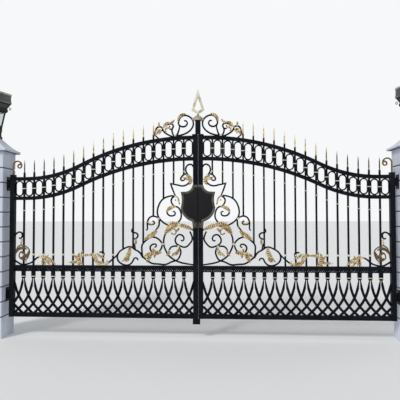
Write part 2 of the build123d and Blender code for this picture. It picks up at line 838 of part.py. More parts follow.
# The right-hand side mirrors the left about the middle of the drive
paired = {
    "pier": left_pier,
    "pier_cap": left_pier_cap,
    "lantern": left_lantern,
    "lantern_glass": left_lantern_glass,
    "hinge_brackets": left_hinge_brackets,
    "hinge_stile": left_hinge_stile,
    "meeting_stile": left_meeting_stile,
    "top_rail": left_top_rail,
    "band_rail": left_band_rail,
    "lock_rail": left_lock_rail,
    "bottom_rail": left_bottom_rail,
    "bars": left_bars,
    "ovals": left_ovals,
    "collars": left_collars,
    "lattice": left_lattice,
    "spears": left_spears,
    "crest_scrolls": left_crest_scrolls,
    "panel_scrolls": left_panel_scrolls,
    "gilt_leaves": left_gilt_leaves,
    "crook": left_crook,
    "shield": left_shield,
}
for name, piece in paired.items():
    with BuildPart() as twin:
        mirror(piece.part, about=middle_plane)
    save(piece.part, f"left_{name}")
    save(twin.part, f"right_{name}")

save(centre_post.part, "centre_post")
save(finial.part, "finial")
save(centre_foot.part, "centre_foot")
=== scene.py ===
import math
import bpy
import numpy as np
from mathutils import Euler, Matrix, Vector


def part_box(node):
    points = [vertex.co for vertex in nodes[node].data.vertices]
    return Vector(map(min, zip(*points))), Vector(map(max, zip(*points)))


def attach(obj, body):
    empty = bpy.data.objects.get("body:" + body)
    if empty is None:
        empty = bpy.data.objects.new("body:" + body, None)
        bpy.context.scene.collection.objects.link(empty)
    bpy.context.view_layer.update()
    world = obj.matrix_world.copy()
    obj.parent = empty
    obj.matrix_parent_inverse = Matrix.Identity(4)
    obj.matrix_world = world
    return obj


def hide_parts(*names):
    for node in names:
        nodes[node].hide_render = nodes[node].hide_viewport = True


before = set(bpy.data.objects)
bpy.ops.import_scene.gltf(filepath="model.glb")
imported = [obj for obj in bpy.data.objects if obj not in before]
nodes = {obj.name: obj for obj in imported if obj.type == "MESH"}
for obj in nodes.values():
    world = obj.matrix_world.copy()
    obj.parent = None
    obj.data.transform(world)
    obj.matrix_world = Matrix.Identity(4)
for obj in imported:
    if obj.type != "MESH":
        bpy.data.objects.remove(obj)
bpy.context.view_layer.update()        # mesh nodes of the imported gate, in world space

mm = 0.001
print("frame loaded")

# Places read from the frame; x is measured from the middle of the drive, z from the underside of the leaves
stileLow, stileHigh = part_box("left_meeting_stile")
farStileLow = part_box("right_meeting_stile")[0]
railLow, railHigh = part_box("left_lock_rail")
middleX = (stileHigh[0] + farStileLow[0]) / 2
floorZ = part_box("left_bottom_rail")[0][2]
ironY = (railLow[1] + railHigh[1]) / 2
innerStart = (railLow[0] - middleX) / mm
innerEnd = (railHigh[0] - middleX) / mm
lockRailBottom = (railLow[2] - floorZ) / mm
leafSides = ((-1, "left"), (1, "right"))

gate = {                       # the leaf's own spacing and arch, in millimetres
    "bars": 17, "barSize": 18.0, "barGap": 92.0,
    "railHeight": 38.0, "topLow": 1522.0, "topHigh": 1957.0, "bandLow": 1308.0, "bandHigh": 1728.0,
    "hollowRun": 590.0, "flatRun": 130.0, "blockBottom": 416.0,
    "barFeet": [1540, 1436, 1277, 1090, 805, 748, 742],
    "firstSpear": 3, "spearStub": 42.0,
}
barX = innerEnd - gate["barGap"] - gate["barSize"] / 2 - np.arange(gate["bars"]) * (gate["barGap"] + gate["barSize"])
bayX = innerEnd - gate["barGap"] / 2 - np.arange(gate["bars"] + 1) * (gate["barGap"] + gate["barSize"])


def archHeight(x, low, high):
    # two arcs of equal turn, one round and one hollow, meet without a kink between the low end and the crest
    run = innerEnd - innerStart - gate["flatRun"]
    turn = 2 * math.atan2(high - low, run)
    fromCrest = np.clip(innerEnd - np.asarray(x, float), 0, run)
    roundRun = run - gate["hollowRun"]
    roundRadius = roundRun / math.sin(turn)
    hollowRadius = gate["hollowRun"] / math.sin(turn)
    roundPart = high - roundRadius + np.sqrt(np.maximum(roundRadius**2 - fromCrest**2, 0))
    hollowPart = low + hollowRadius - np.sqrt(np.maximum(hollowRadius**2 - (run - fromCrest) ** 2, 0))
    return np.where(fromCrest <= roundRun, roundPart, hollowPart)


# undersides are lower than these upper edges by the rail's height
def topRail(x):
    return archHeight(x, gate["topLow"], gate["topHigh"])


def bandRail(x):
    return archHeight(x, gate["bandLow"], gate["bandHigh"])


# Mesh helpers: a shape is a pair of points (n, 3) and a list of face arrays
def closedGrid(points, closeRows=False):
    # points (copies, rows, cols, 3), each row a closed loop; open ends get a pole at the loop's centre
    points = np.asarray(points, float)
    if points.ndim == 3:
        points = points[None]
    copies, rows, cols, _ = points.shape
    verts = points.reshape(copies, rows * cols, 3)
    here, after = np.arange(cols), (np.arange(cols) + 1) % cols
    row = np.arange(rows if closeRows else rows - 1)[:, None] * cols
    above = (row + cols) % (rows * cols)
    quads = np.stack([row + here, above + here, above + after, row + after], axis=-1).reshape(-1, 4)
    tris = np.zeros((0, 3), int)
    if not closeRows:
        verts = np.concatenate([verts, points[:, [0, -1]].mean(axis=2)], axis=1)
        pole, top = np.full(cols, rows * cols), (rows - 1) * cols
        tris = np.concatenate([np.stack([pole, here, after], 1), np.stack([pole + 1, top + after, top + here], 1)])
    shift = (np.arange(copies) * verts.shape[1])[:, None, None]
    return turnedOut(verts.reshape(-1, 3), (quads + shift).reshape(-1, 4), (tris + shift).reshape(-1, 3))


def stacked(loops, z):
    # loops in plan, each lifted to its height
    return closedGrid(np.concatenate([loops, np.broadcast_to(z[:, None, None], loops.shape[:-1] + (1,))], axis=-1))


def turnedOut(verts, quads, tris):
    # a closed shape whose signed volume is negative has its faces turned round
    corners = np.concatenate([quads[:, [0, 1, 2]], quads[:, [0, 2, 3]], tris])
    a, b, c = (verts[corners[:, i]] for i in range(3))
    volume = np.einsum("ij,ij->i", a, np.cross(b, c)).sum()
    if volume < 0:
        quads, tris = quads[:, ::-1], tris[:, ::-1]
    return verts, quads, tris


def joined(shapes):
    # several shapes in one, their face numbers moved on
    verts, quads, tris = zip(*shapes)
    shift = np.cumsum([0] + [len(v) for v in verts[:-1]])
    quads, tris = (np.concatenate([f + n for f, n in zip(faces, shift)]) for faces in (quads, tris))
    return np.concatenate(verts), quads, tris


def shaded(pairs):
    # several shapes in one, each with its relief: one number, or one for every point
    shapes, reliefs = zip(*pairs)
    return joined(shapes), np.concatenate([np.broadcast_to(r, len(s[0])) for s, r in zip(shapes, reliefs)])


def superRing(count, power):
    # a ring from round (power 2) to nearly square (power 8): cosine and sine raised to 2 over power
    angle = 2 * math.pi * (np.arange(count) + 0.5) / count
    ring = np.stack([np.cos(angle), np.sin(angle)])
    return np.sign(ring) * np.abs(ring) ** (2 / power)


def tangentPath(start, heading, points, step=5.0):
    # arc after arc: each leaves along the last direction, its curvature twice the offset over the chord squared
    here = np.array(start, float)
    way = math.radians(heading)
    pieces = [here[None]]
    for target in points:
        chord = np.array(target, float) - here
        length = np.hypot(*chord)
        swing = math.atan2(chord[1], chord[0]) - way
        swing = (swing + math.pi) % (2 * math.pi) - math.pi
        arcLength = length if abs(swing) < 1e-6 else length * swing / math.sin(swing)
        count = max(2, round(arcLength / step))
        share = np.arange(1, count + 1) / count
        if abs(swing) < 1e-6:
            pieces.append(here + share[:, None] * chord)
        else:
            radius = length / (2 * math.sin(swing))
            angle = way + 2 * swing * share
            pieces.append(here + radius * np.stack([np.sin(angle) - math.sin(way), math.cos(way) - np.cos(angle)], 1))
        here = np.array(target, float)
        way += 2 * swing
    return np.concatenate(pieces)


barEnds = {"thinned": 0.25, "knobRun": 1.6, "blunt": 0.94, "evenDepth": 0.35}


def barSweep(path, halfWidth, halfDepth, section=10, power=4.5, swell=(1.0, 1.0), depthAt=0.0, closed=False, taper=0):
    # a rounded flat section carried along a path in the plane of the leaf; its ends swell and round off,
    # and over the last taper millimetres the bar grows thinner
    path = np.asarray(path, float)
    ahead = np.roll(path, -1, 0) - np.roll(path, 1, 0)
    if not closed:
        ahead[0], ahead[-1] = path[1] - path[0], path[-1] - path[-2]
    ahead /= np.linalg.norm(ahead, axis=1)[:, None]
    side = np.stack([ahead[:, 1], -ahead[:, 0]], axis=1)
    width = np.ones(len(path))
    if not closed:
        run = np.concatenate([[0], np.cumsum(np.linalg.norm(np.diff(path, axis=0), axis=1))])
        if taper:
            width *= 1 - barEnds["thinned"] * np.clip(1 - (run[-1] - run) / taper, 0, 1)
        for distance, size in ((run, swell[0]), (run[-1] - run, swell[1])):
            width *= 1 + (size - 1) * np.exp(-((distance - halfWidth) / (barEnds["knobRun"] * halfWidth)) ** 2)
            width *= np.sqrt(1 - np.clip(1 - distance / halfWidth, 0, barEnds["blunt"]) ** 2)
    across, deep = superRing(section, power)
    flat = path[:, None] + side[:, None] * (across[:, None] * halfWidth * width[:, None, None])
    depth = np.minimum(1, barEnds["evenDepth"] + (1 - barEnds["evenDepth"]) * width[:, None])
    y = depthAt - deep * halfDepth * depth
    points = np.stack([flat[..., 0], y, flat[..., 1]], axis=-1)
    return closedGrid(points, closeRows=closed)


def turnedMany(centres, profile, section=12, power=4.0):
    # a turned or four-sided form copied to many places: profile rows are height, half width and half depth
    profile = np.asarray(profile, float)
    across, deep = superRing(section, power)
    rows = np.stack([profile[:, 1, None] * across, -profile[:, 2, None] * deep, profile[:, 0, None] + 0 * across], -1)
    return closedGrid(rows[None] + np.asarray(centres, float)[:, None, None, :])


def ballProfile(radius, end=0.46, rows=9):
    # sine and cosine from just above the lower pole to just below the upper one, in shares of a half turn
    slope = np.linspace(-end, end, rows) * math.pi
    return radius * np.stack([np.sin(slope), np.cos(slope), np.cos(slope)], axis=1)


def roundedLoop(halfX, halfY, corner, perSide, perCorner):
    # a rectangle with quarter-circle corners, walked once round; sizes may be arrays, one loop for each
    halfX, halfY, corner = (np.atleast_1d(np.asarray(v, float))[:, None] for v in (halfX, halfY, corner))
    arcs = []
    for turn, (signX, signY) in enumerate(((1, 1), (-1, 1), (-1, -1), (1, -1))):
        angle = np.linspace(0, math.pi / 2, perCorner) + turn * math.pi / 2
        arcs.append(np.stack([signX * (halfX - corner) + corner * np.cos(angle),
                              signY * (halfY - corner) + corner * np.sin(angle)], -1))
    loop = []
    along = (np.arange(1, perSide) / perSide)[:, None]
    for arc, following in zip(arcs, arcs[1:] + arcs[:1]):
        loop += [arc, arc[:, -1:] + (following[:, :1] - arc[:, -1:]) * along]
    return np.concatenate(loop, axis=1)


def middleOf(low, high):
    # the middle of a box, and half its size
    return (np.array(high) + low) / 2, (np.array(high) - low) / 2


def linked(name, data):
    # an object at the origin, in the scene
    obj = bpy.data.objects.new(name, data)
    bpy.context.scene.collection.objects.link(obj)
    return obj


def putPiece(name, shape, material, body, replaced=(), relief=None, sharpAngle=38):
    # points in metres go into a mesh object that rides its body
    verts, quads, tris = shape
    mesh = bpy.data.meshes.new(name)
    mesh.from_pydata(verts, [], quads.tolist() + tris.tolist())
    mesh.update(calc_edges=True)
    mesh.validate()
    mesh.shade_smooth()
    mesh.set_sharp_from_angle(angle=math.radians(sharpAngle))
    mesh.materials.append(material)
    if relief is not None:
        layer = mesh.attributes.new("relief", "FLOAT", "POINT")
        layer.data.foreach_set("value", np.broadcast_to(relief, len(verts)).astype(np.float32))
    obj = linked(name, mesh)
    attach(obj, body)
    if replaced:
        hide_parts(*replaced)


def inGate(verts, sign=-1):
    # gate millimetres to the frame's metres; the sign is 1 for the mirrored right leaf
    return np.array([middleX, ironY, floorZ]) + verts * (-sign * mm, mm, mm)


def leafPiece(name, shape, material, replacedName=None, relief=None, sharpAngle=38):
    # a shape drawn for the left leaf goes on both leaves, the right one as its mirror
    for sign, side in leafSides:
        replaced = (f"{side}_{replacedName}",) if replacedName else ()
        putPiece(f"{side}_{name}", turnedOut(inGate(shape[0], sign), *shape[1:]), material, f"{side}_leaf",
                 replaced, relief, sharpAngle)


# Shader helpers
def setInputs(tree, node, values):
    # a socket given as a value is linked, any other value is set; i0, i1 and so on count the inputs
    for key, value in values.items():
        socket = node.inputs[int(key[1:]) if key[1:].isdigit() else key]
        if isinstance(value, bpy.types.NodeSocket):
            tree.links.new(value, socket)
        else:
            socket.default_value = value


def addNode(tree, kind, settings=None, **values):
    # a node with its settings, and its inputs linked or set
    node = tree.nodes.new(kind)
    for key, value in (settings or {}).items():
        setattr(node, key, value)
    setInputs(tree, node, values)
    return node


def noise(tree, place, scale, detail):
    return addNode(tree, "ShaderNodeTexNoise", Vector=place, Scale=scale, Detail=detail).outputs["Fac"]


def weighted(tree, value, weight, rest):
    # the value times its weight, plus the rest
    return addNode(tree, "ShaderNodeMath", {"operation": "MULTIPLY_ADD"}, i0=value, i1=weight, i2=rest).outputs[0]


def ranged(tree, value, fromLow, fromHigh, toLow=0.0, toHigh=1.0):
    # one range of values carried to another
    return addNode(tree, "ShaderNodeMapRange", i0=value, i1=fromLow, i2=fromHigh, i3=toLow, i4=toHigh).outputs[0]


def blended(tree, share, low, high):
    # the low colour where the share is 0, the high one where it is 1
    return addNode(tree, "ShaderNodeMix", {"data_type": "RGBA"}, Factor=share, i6=low, i7=high).outputs[2]


def bumped(tree, height, strength, distance):
    return addNode(tree, "ShaderNodeBump", Strength=strength, Distance=distance, Height=height).outputs[0]


def reliefOf(tree):
    return addNode(tree, "ShaderNodeAttribute", {"attribute_name": "relief"}).outputs["Fac"]


# Shader groups shared by the finishes: a position goes in, and colour, roughness and height come out
def makeGroup(name, inputs):
    # a number makes a value input, and a tuple a colour
    tree = bpy.data.node_groups.new(name, "ShaderNodeTree")
    tree.interface.new_socket(name="Position", in_out="INPUT", socket_type="NodeSocketVector")
    for label, value in inputs.items():
        kind = "NodeSocketFloat" if isinstance(value, float) else "NodeSocketColor"
        tree.interface.new_socket(name=label, in_out="INPUT", socket_type=kind).default_value = value
    for label, kind in (("Color", "Color"), ("Roughness", "Float"), ("Height", "Float")):
        tree.interface.new_socket(name=label, in_out="OUTPUT", socket_type="NodeSocket" + kind)
    return tree, tree.nodes.new("NodeGroupInput").outputs, tree.nodes.new("NodeGroupOutput")


paintMix = {"grain": 0.35, "dark": 0.48, "light": 0.88, "wornFrom": 0.52, "wornTo": 0.74, "full": 1.05, "bump": 0.001}
stoneMix = {"speckle": 0.4, "streak": 0.5, "streaks": (14.0, 14.0, 1.4), "dark": 0.65, "light": 1.15,
            "smooth": 0.75, "rough": 0.95, "bump": 0.5, "bumpDepth": 0.0015}


def brushedPaintGroup():
    # two noises, one broad and one fine, shade a coat of paint between a dark and a light tone
    tree, take, end = makeGroup("Painted iron", {"Dark": (0, 0, 0, 1), "Light": (1, 1, 1, 1), "Blotch Scale": 9.0,
                                                 "Grain Scale": 240.0, "Smooth": 0.3, "Rough": 0.5})
    broad = noise(tree, take["Position"], take["Blotch Scale"], 4.0)
    fine = noise(tree, take["Position"], take["Grain Scale"], 3.0)
    height = weighted(tree, fine, paintMix["grain"], broad)
    tone = ranged(tree, height, paintMix["dark"], paintMix["light"])
    rough = addNode(tree, "ShaderNodeMix", {"data_type": "FLOAT"}, Factor=fine, i2=take["Smooth"], i3=take["Rough"])
    setInputs(tree, end, {"Color": blended(tree, tone, take["Dark"], take["Light"]),
                          "Roughness": rough.outputs[0], "Height": height})
    return tree


def stoneGroup():
    # fine speckle over soft clouds, with a little rain streaking that runs down the faces
    tree, take, end = makeGroup("Dressed stone", {"Dark": (0, 0, 0, 1), "Light": (1, 1, 1, 1), "Cloud Scale": 3.0,
                                                  "Speckle Scale": 260.0})
    cloud = noise(tree, take["Position"], take["Cloud Scale"], 6.0)
    speckle = noise(tree, take["Position"], take["Speckle Scale"], 2.0)
    stretch = addNode(tree, "ShaderNodeMapping", Vector=take["Position"], Scale=stoneMix["streaks"])
    height = weighted(tree, speckle, stoneMix["speckle"], cloud)
    tone = weighted(tree, noise(tree, stretch.outputs[0], 1.0, 3.0), stoneMix["streak"], height)
    tone = ranged(tree, tone, stoneMix["dark"], stoneMix["light"])
    setInputs(tree, end, {"Color": blended(tree, tone, take["Dark"], take["Light"]), "Height": height,
                          "Roughness": ranged(tree, speckle, 0.0, 1.0, stoneMix["smooth"], stoneMix["rough"])})
    return tree


paintGroup = brushedPaintGroup()
stoneLook = stoneGroup()


def newMaterial(name):
    # the material, its tree, its Principled shader and the object coordinates
    material = bpy.data.materials.new(name)
    material.use_nodes = True
    tree = material.node_tree
    return material, tree, tree.nodes["Principled BSDF"], tree.nodes.new("ShaderNodeTexCoord").outputs["Object"]


def useGroup(tree, group, position, settings):
    return addNode(tree, "ShaderNodeGroup", {"node_tree": group}, Position=position, **settings).outputs


def paintMaterial(name, look, usesRelief=False):
    # paint over iron or gilding; relief runs from the hollow's tone at 0 over a middle one at 0.5 to the coat at 1
    material, tree, shader, place = newMaterial(name)
    coat = useGroup(tree, paintGroup, place, look["coat"])
    colour = coat["Color"]
    if usesRelief:
        wear = ranged(tree, coat["Height"], paintMix["wornFrom"], paintMix["wornTo"], look["wear"], paintMix["full"])
        worn = addNode(tree, "ShaderNodeMath", {"operation": "MULTIPLY"}, i0=reliefOf(tree), i1=wear).outputs[0]
        lower = blended(tree, ranged(tree, worn, 0.0, 0.5), look["hollow"], look["middle"])
        colour = blended(tree, ranged(tree, worn, 0.5, 1.0), lower, colour)
    setInputs(tree, shader, {"Base Color": colour, "Roughness": coat["Roughness"], "Metallic": look["metallic"],
                             "Specular IOR Level": look["gloss"],
                             "Normal": bumped(tree, coat["Height"], look["bump"], paintMix["bump"])})
    return material


finishes = {
    "blackIron": {
        "coat": {"Dark": (0.0028, 0.0034, 0.0055, 1), "Light": (0.0075, 0.0092, 0.0140, 1), "Blotch Scale": 7.0,
                 "Grain Scale": 300.0, "Smooth": 0.36, "Rough": 0.55},
        "bump": 0.25, "metallic": 0.0, "gloss": 0.06},
    "antiqueGold": {
        "coat": {"Dark": (0.54, 0.43, 0.22, 1), "Light": (0.89, 0.80, 0.57, 1), "Blotch Scale": 30.0,
                 "Grain Scale": 420.0, "Smooth": 0.34, "Rough": 0.5},
        # on the acanthus the hollow and middle tones are painted shade in the leaves' hollows
        "hollow": (0.022, 0.017, 0.009, 1), "middle": (0.36, 0.225, 0.075, 1), "wear": 0.42,
        "bump": 0.3, "metallic": 0.3, "gloss": 0.4},
    "paleGold": {
        "coat": {"Dark": (0.47, 0.42, 0.31, 1), "Light": (0.78, 0.73, 0.59, 1), "Blotch Scale": 20.0,
                 "Grain Scale": 400.0, "Smooth": 0.34, "Rough": 0.5},
        "hollow": (0.045, 0.036, 0.022, 1), "middle": (0.24, 0.195, 0.115, 1), "wear": 0.8,
        "bump": 0.3, "metallic": 0.25, "gloss": 0.4},
    "shield": {
        "coat": {"Dark": (0.045, 0.045, 0.037, 1), "Light": (0.115, 0.112, 0.092, 1), "Blotch Scale": 20.0,
                 "Grain Scale": 380.0, "Smooth": 0.34, "Rough": 0.5},
        "hollow": (0.0095, 0.0085, 0.0100, 1), "middle": (0.040, 0.038, 0.033, 1), "wear": 1.0,
        "bump": 0.3, "metallic": 0.3, "gloss": 0.2},
    "lantern": {
        "coat": {"Dark": (0.38, 0.37, 0.30, 1), "Light": (0.58, 0.56, 0.46, 1), "Blotch Scale": 10.0,
                 "Grain Scale": 300.0, "Smooth": 0.45, "Rough": 0.65},
        "hollow": (0.009, 0.010, 0.012, 1), "middle": (0.088, 0.098, 0.092, 1), "wear": 0.85,
        "bump": 0.3, "metallic": 0.2, "gloss": 0.25},
}
blackIron = paintMaterial("Black paint on forged iron", finishes["blackIron"])
paleGold = paintMaterial("Pale gold paint", finishes["paleGold"])
leafGold = paintMaterial("Antique gold with painted shade on acanthus", finishes["antiqueGold"], usesRelief=True)
shieldBronze = paintMaterial("Bronze rim and dark field", finishes["shield"], usesRelief=True)
finialGold = paintMaterial("Pale gold over a bronze cap", finishes["paleGold"], usesRelief=True)
lanternMetal = paintMaterial("Weathered lantern metal", finishes["lantern"], usesRelief=True)


def stoneMaterial(look):
    # dressed stone; relief runs from 0 in the bottom of a joint to 1 on the face, and stays low under the cap as
    # painted shade
    material, tree, shader, place = newMaterial("Pale dressed stone")
    grain = useGroup(tree, stoneLook, place, look["grain"])
    setInputs(tree, shader, {"Base Color": blended(tree, reliefOf(tree), look["jointAndShade"], grain["Color"]),
                             "Roughness": grain["Roughness"],
                             "Normal": bumped(tree, grain["Height"], stoneMix["bump"], stoneMix["bumpDepth"])})
    return material


stoneFinish = {
    # the stone is pale; its blue-grey cast is painted shade
    "grain": {"Dark": (0.43, 0.465, 0.54, 1), "Light": (0.655, 0.70, 0.785, 1), "Cloud Scale": 2.6,
              "Speckle Scale": 300.0},
    "jointAndShade": (0.040, 0.045, 0.058, 1),
}
paleStone = stoneMaterial(stoneFinish)
glass = {"ripples": 28.0, "bump": 0.15, "bumpDepth": 0.002, "tint": (0.80, 0.86, 0.88, 1),
         "clear": (0.93, 0.96, 0.97, 1), "shader": {"Transmission Weight": 0.9, "Roughness": 0.06, "IOR": 1.45}}


def glassMaterial():
    # clear glass with faint ripples
    material, tree, shader, place = newMaterial("Lantern glass")
    ripple = noise(tree, place, glass["ripples"], 2.0)
    setInputs(tree, shader, {"Base Color": blended(tree, ripple, glass["tint"], glass["clear"]),
                             "Normal": bumped(tree, ripple, glass["bump"], glass["bumpDepth"]), **glass["shader"]})
    return material


lanternGlass = glassMaterial()
print("finishes made")

# CAD nodes that keep their shape get their finish here
ironNodes = ["hinge_stile", "meeting_stile", "top_rail", "band_rail", "lock_rail", "bottom_rail", "bars",
             "hinge_brackets"]
for name in [f"{side}_{part}" for _, side in leafSides for part in ironNodes] + ["centre_post", "centre_foot"]:
    nodes[name].data.materials.clear()
    nodes[name].data.materials.append(blackIron)

# Racetrack rings between the two arched rails
rings = {"bar": 14.5, "depth": 15.0, "seat": 0.2, "around": 32, "section": 10}
clearHeight = topRail(bayX) - gate["railHeight"] - bandRail(bayX)
bayMiddle = (topRail(bayX) - gate["railHeight"] + bandRail(bayX)) / 2


def ringShape():
    # two half circles pulled apart by a straight run, with a rounded section carried round
    outer = gate["barGap"] / 2 - rings["seat"]
    radius = outer - rings["bar"] / 2
    slope = (topRail(bayX + 1) - topRail(bayX - 1)) / 2
    straight = clearHeight / 2 - outer * np.sqrt(1 + slope**2)
    angle = (2 * math.pi * (np.arange(rings["around"]) + 0.5) / rings["around"])[:, None]
    across, deep = superRing(rings["section"], 4.0)
    reach = radius + across * rings["bar"] / 2
    x = bayX[:, None, None] + np.cos(angle) * reach
    z = bayMiddle[:, None, None] + np.sign(np.sin(angle)) * straight[:, None, None] + np.sin(angle) * reach
    y = np.broadcast_to(-deep * rings["depth"] / 2, x.shape)
    return closedGrid(np.stack([x, y, z], axis=-1), closeRows=True)


leafPiece("ovals", ringShape(), blackIron, "ovals")
print("rings done")

# Gold collars: across the rings, on the bars, on the foot blocks and round the scroll joints
collars = {"wall": 3.0, "height": 9.0, "bandDrop": 158.0, "step": 7.0, "blockHeight": 434.0, "railHeight": 669.0,
           "blockHalf": 27.0, "blockDepth": 16.0, "bead": 14.5, "tieDepth": 12.0, "tieHeight": 0.75,
           "profile": [(-1, 0.90), (-0.86, 0.98), (-0.55, 1.0), (-0.25, 0.94),
                       (0.25, 0.94), (0.55, 1.0), (0.86, 0.98), (1, 0.90)],
           "ties": [(-247, 1962, 13), (-428, 1063, 14), (-380, 790, 15), (-212, 765, 13), (-300, 1449, 8)]}


def collarShape(centres, halfWidth, halfDepth, halfHeight):
    # a band with a bead at each edge and a shallow hollow between
    height, width = np.array(collars["profile"]).T
    profile = np.stack([height * halfHeight, width * halfWidth, width * halfDepth], 1)
    return turnedMany(centres, profile, section=12, power=7.0)


def atBars(x, z):
    # places in the middle of the bars' depth
    return np.stack(np.broadcast_arrays(x, 0.0, z), axis=1)


collarHalf = collars["height"] / 2
ringMiddle = (topRail(barX) - gate["railHeight"] + bandRail(barX)) / 2
underBand = bandRail(barX) - collars["bandDrop"] + collarHalf
barFeet = np.pad(gate["barFeet"], (0, gate["bars"] - len(gate["barFeet"])))
banded, free = underBand > barFeet, barFeet == 0
barDepth = gate["barSize"] / 2 + collars["wall"]
ringReach = gate["barSize"] / 2 + rings["seat"] + rings["bar"] + collars["wall"]
collarParts = [
    collarShape(atBars(barX, ringMiddle), ringReach, barDepth, collarHalf),
    collarShape(atBars(barX[banded], underBand[banded]), gate["barSize"] / 2 + collars["step"], barDepth, collarHalf),
    turnedMany(atBars(barX[free], collars["railHeight"] + collarHalf), ballProfile(collars["bead"]), 12, 2.0),
    collarShape(atBars(barX, collars["blockHeight"] + collarHalf), collars["blockHalf"], collars["blockDepth"],
                collarHalf),
]
for x, z, half in collars["ties"]:
    collarParts.append(collarShape([[x, 0, z]], half, collars["tieDepth"], half * collars["tieHeight"]))
leafPiece("collars", joined(collarParts), paleGold, "collars")
print("collars done")

# Spears on the bars
spears = {"length": 146.0, "halfWidth": 7.8, "halfDepth": 5.0, "section": 8, "darkFrom": -1600.0, "fadeRun": 420.0,
          "least": 0.05, "rise": (0.62, 0.5), "blade": 25.0, "fullness": 1.6, "narrowing": 0.35, "tip": (1.2, 1.0),
          "base": [(0, 10, 6), (4, 12, 6.4), (9, 12, 6.4), (12, 8, 5.5), (15, 5, 4.6), (18, 7.5, 5.6),
                   (22, 7.5, 5.6), (25, 4.6, 4.2)]}


def spearShape():
    # a square base and a bead, a thin neck, then a flattened blade that swells and runs out to a point;
    # the spears grow darker from the crest towards the hinge and from the tip towards the base
    share = np.linspace(0, 1, 14)[1:]
    swell = np.minimum(1, spears["fullness"] * np.sin(math.pi * share ** 0.5)) * (1 - spears["narrowing"] * share)
    tipWidth, tipDepth = spears["tip"]
    blade = np.stack([spears["blade"] + (spears["length"] - spears["blade"]) * share,
                      tipWidth + (spears["halfWidth"] - tipWidth) * swell,
                      tipDepth + (spears["halfDepth"] - tipDepth) * swell], axis=1)
    profile = np.concatenate([spears["base"], blade])
    first = gate["firstSpear"]
    feet = atBars(barX[first:], topRail(barX[first:]) + gate["spearStub"])
    shape = turnedMany(feet, profile, spears["section"], power=1.6)
    fade = np.clip((barX[first:] - spears["darkFrom"]) / spears["fadeRun"], spears["least"], 1)
    rise = spears["rise"][0] + spears["rise"][1] * profile[:, 0] / spears["length"]
    rows = np.repeat(rise, spears["section"])
    relief = fade[:, None] * np.concatenate([rows, [rise[0], rise[-1]]])[None, :]
    return shape, relief.ravel()


spearBody, spearRelief = spearShape()
leafPiece("spears", spearBody, leafGold, "spears", spearRelief)
print("spears done")

# Scrolls: start, heading in degrees, and the points that the bar bends through
crestScrolls = {
    "halfWidth": 9.0, "halfDepth": 8.8, "swell": 1.12, "taper": 90,
    "paths": [
        ((-262, 1953), 8, [(-190, 1965), (-120, 1990), (-62, 2045), (-50, 2100), (-74, 2150), (-130, 2180),
            (-190, 2157), (-211, 2108), (-195, 2068), (-155, 2057), (-118, 2084), (-126, 2118), (-152, 2118)]),
        ((-241, 1955), 40, [(-215, 1995), (-203, 2035), (-207, 2082)]),
        ((-256, 1953), 130, [(-280, 2000), (-272, 2050), (-302, 2090), (-346, 2082), (-367, 2050)]),
        ((-277, 2036), 215, [(-298, 2032), (-311, 2050), (-302, 2068)]),
        ((-266, 1951), 172, [(-310, 1965), (-350, 1988), (-385, 2035), (-422, 2060), (-456, 2034), (-468, 1990),
            (-454, 1954), (-424, 1930)]),
        ((-376, 2026), 215, [(-402, 2018), (-426, 2034)]),
    ],
}
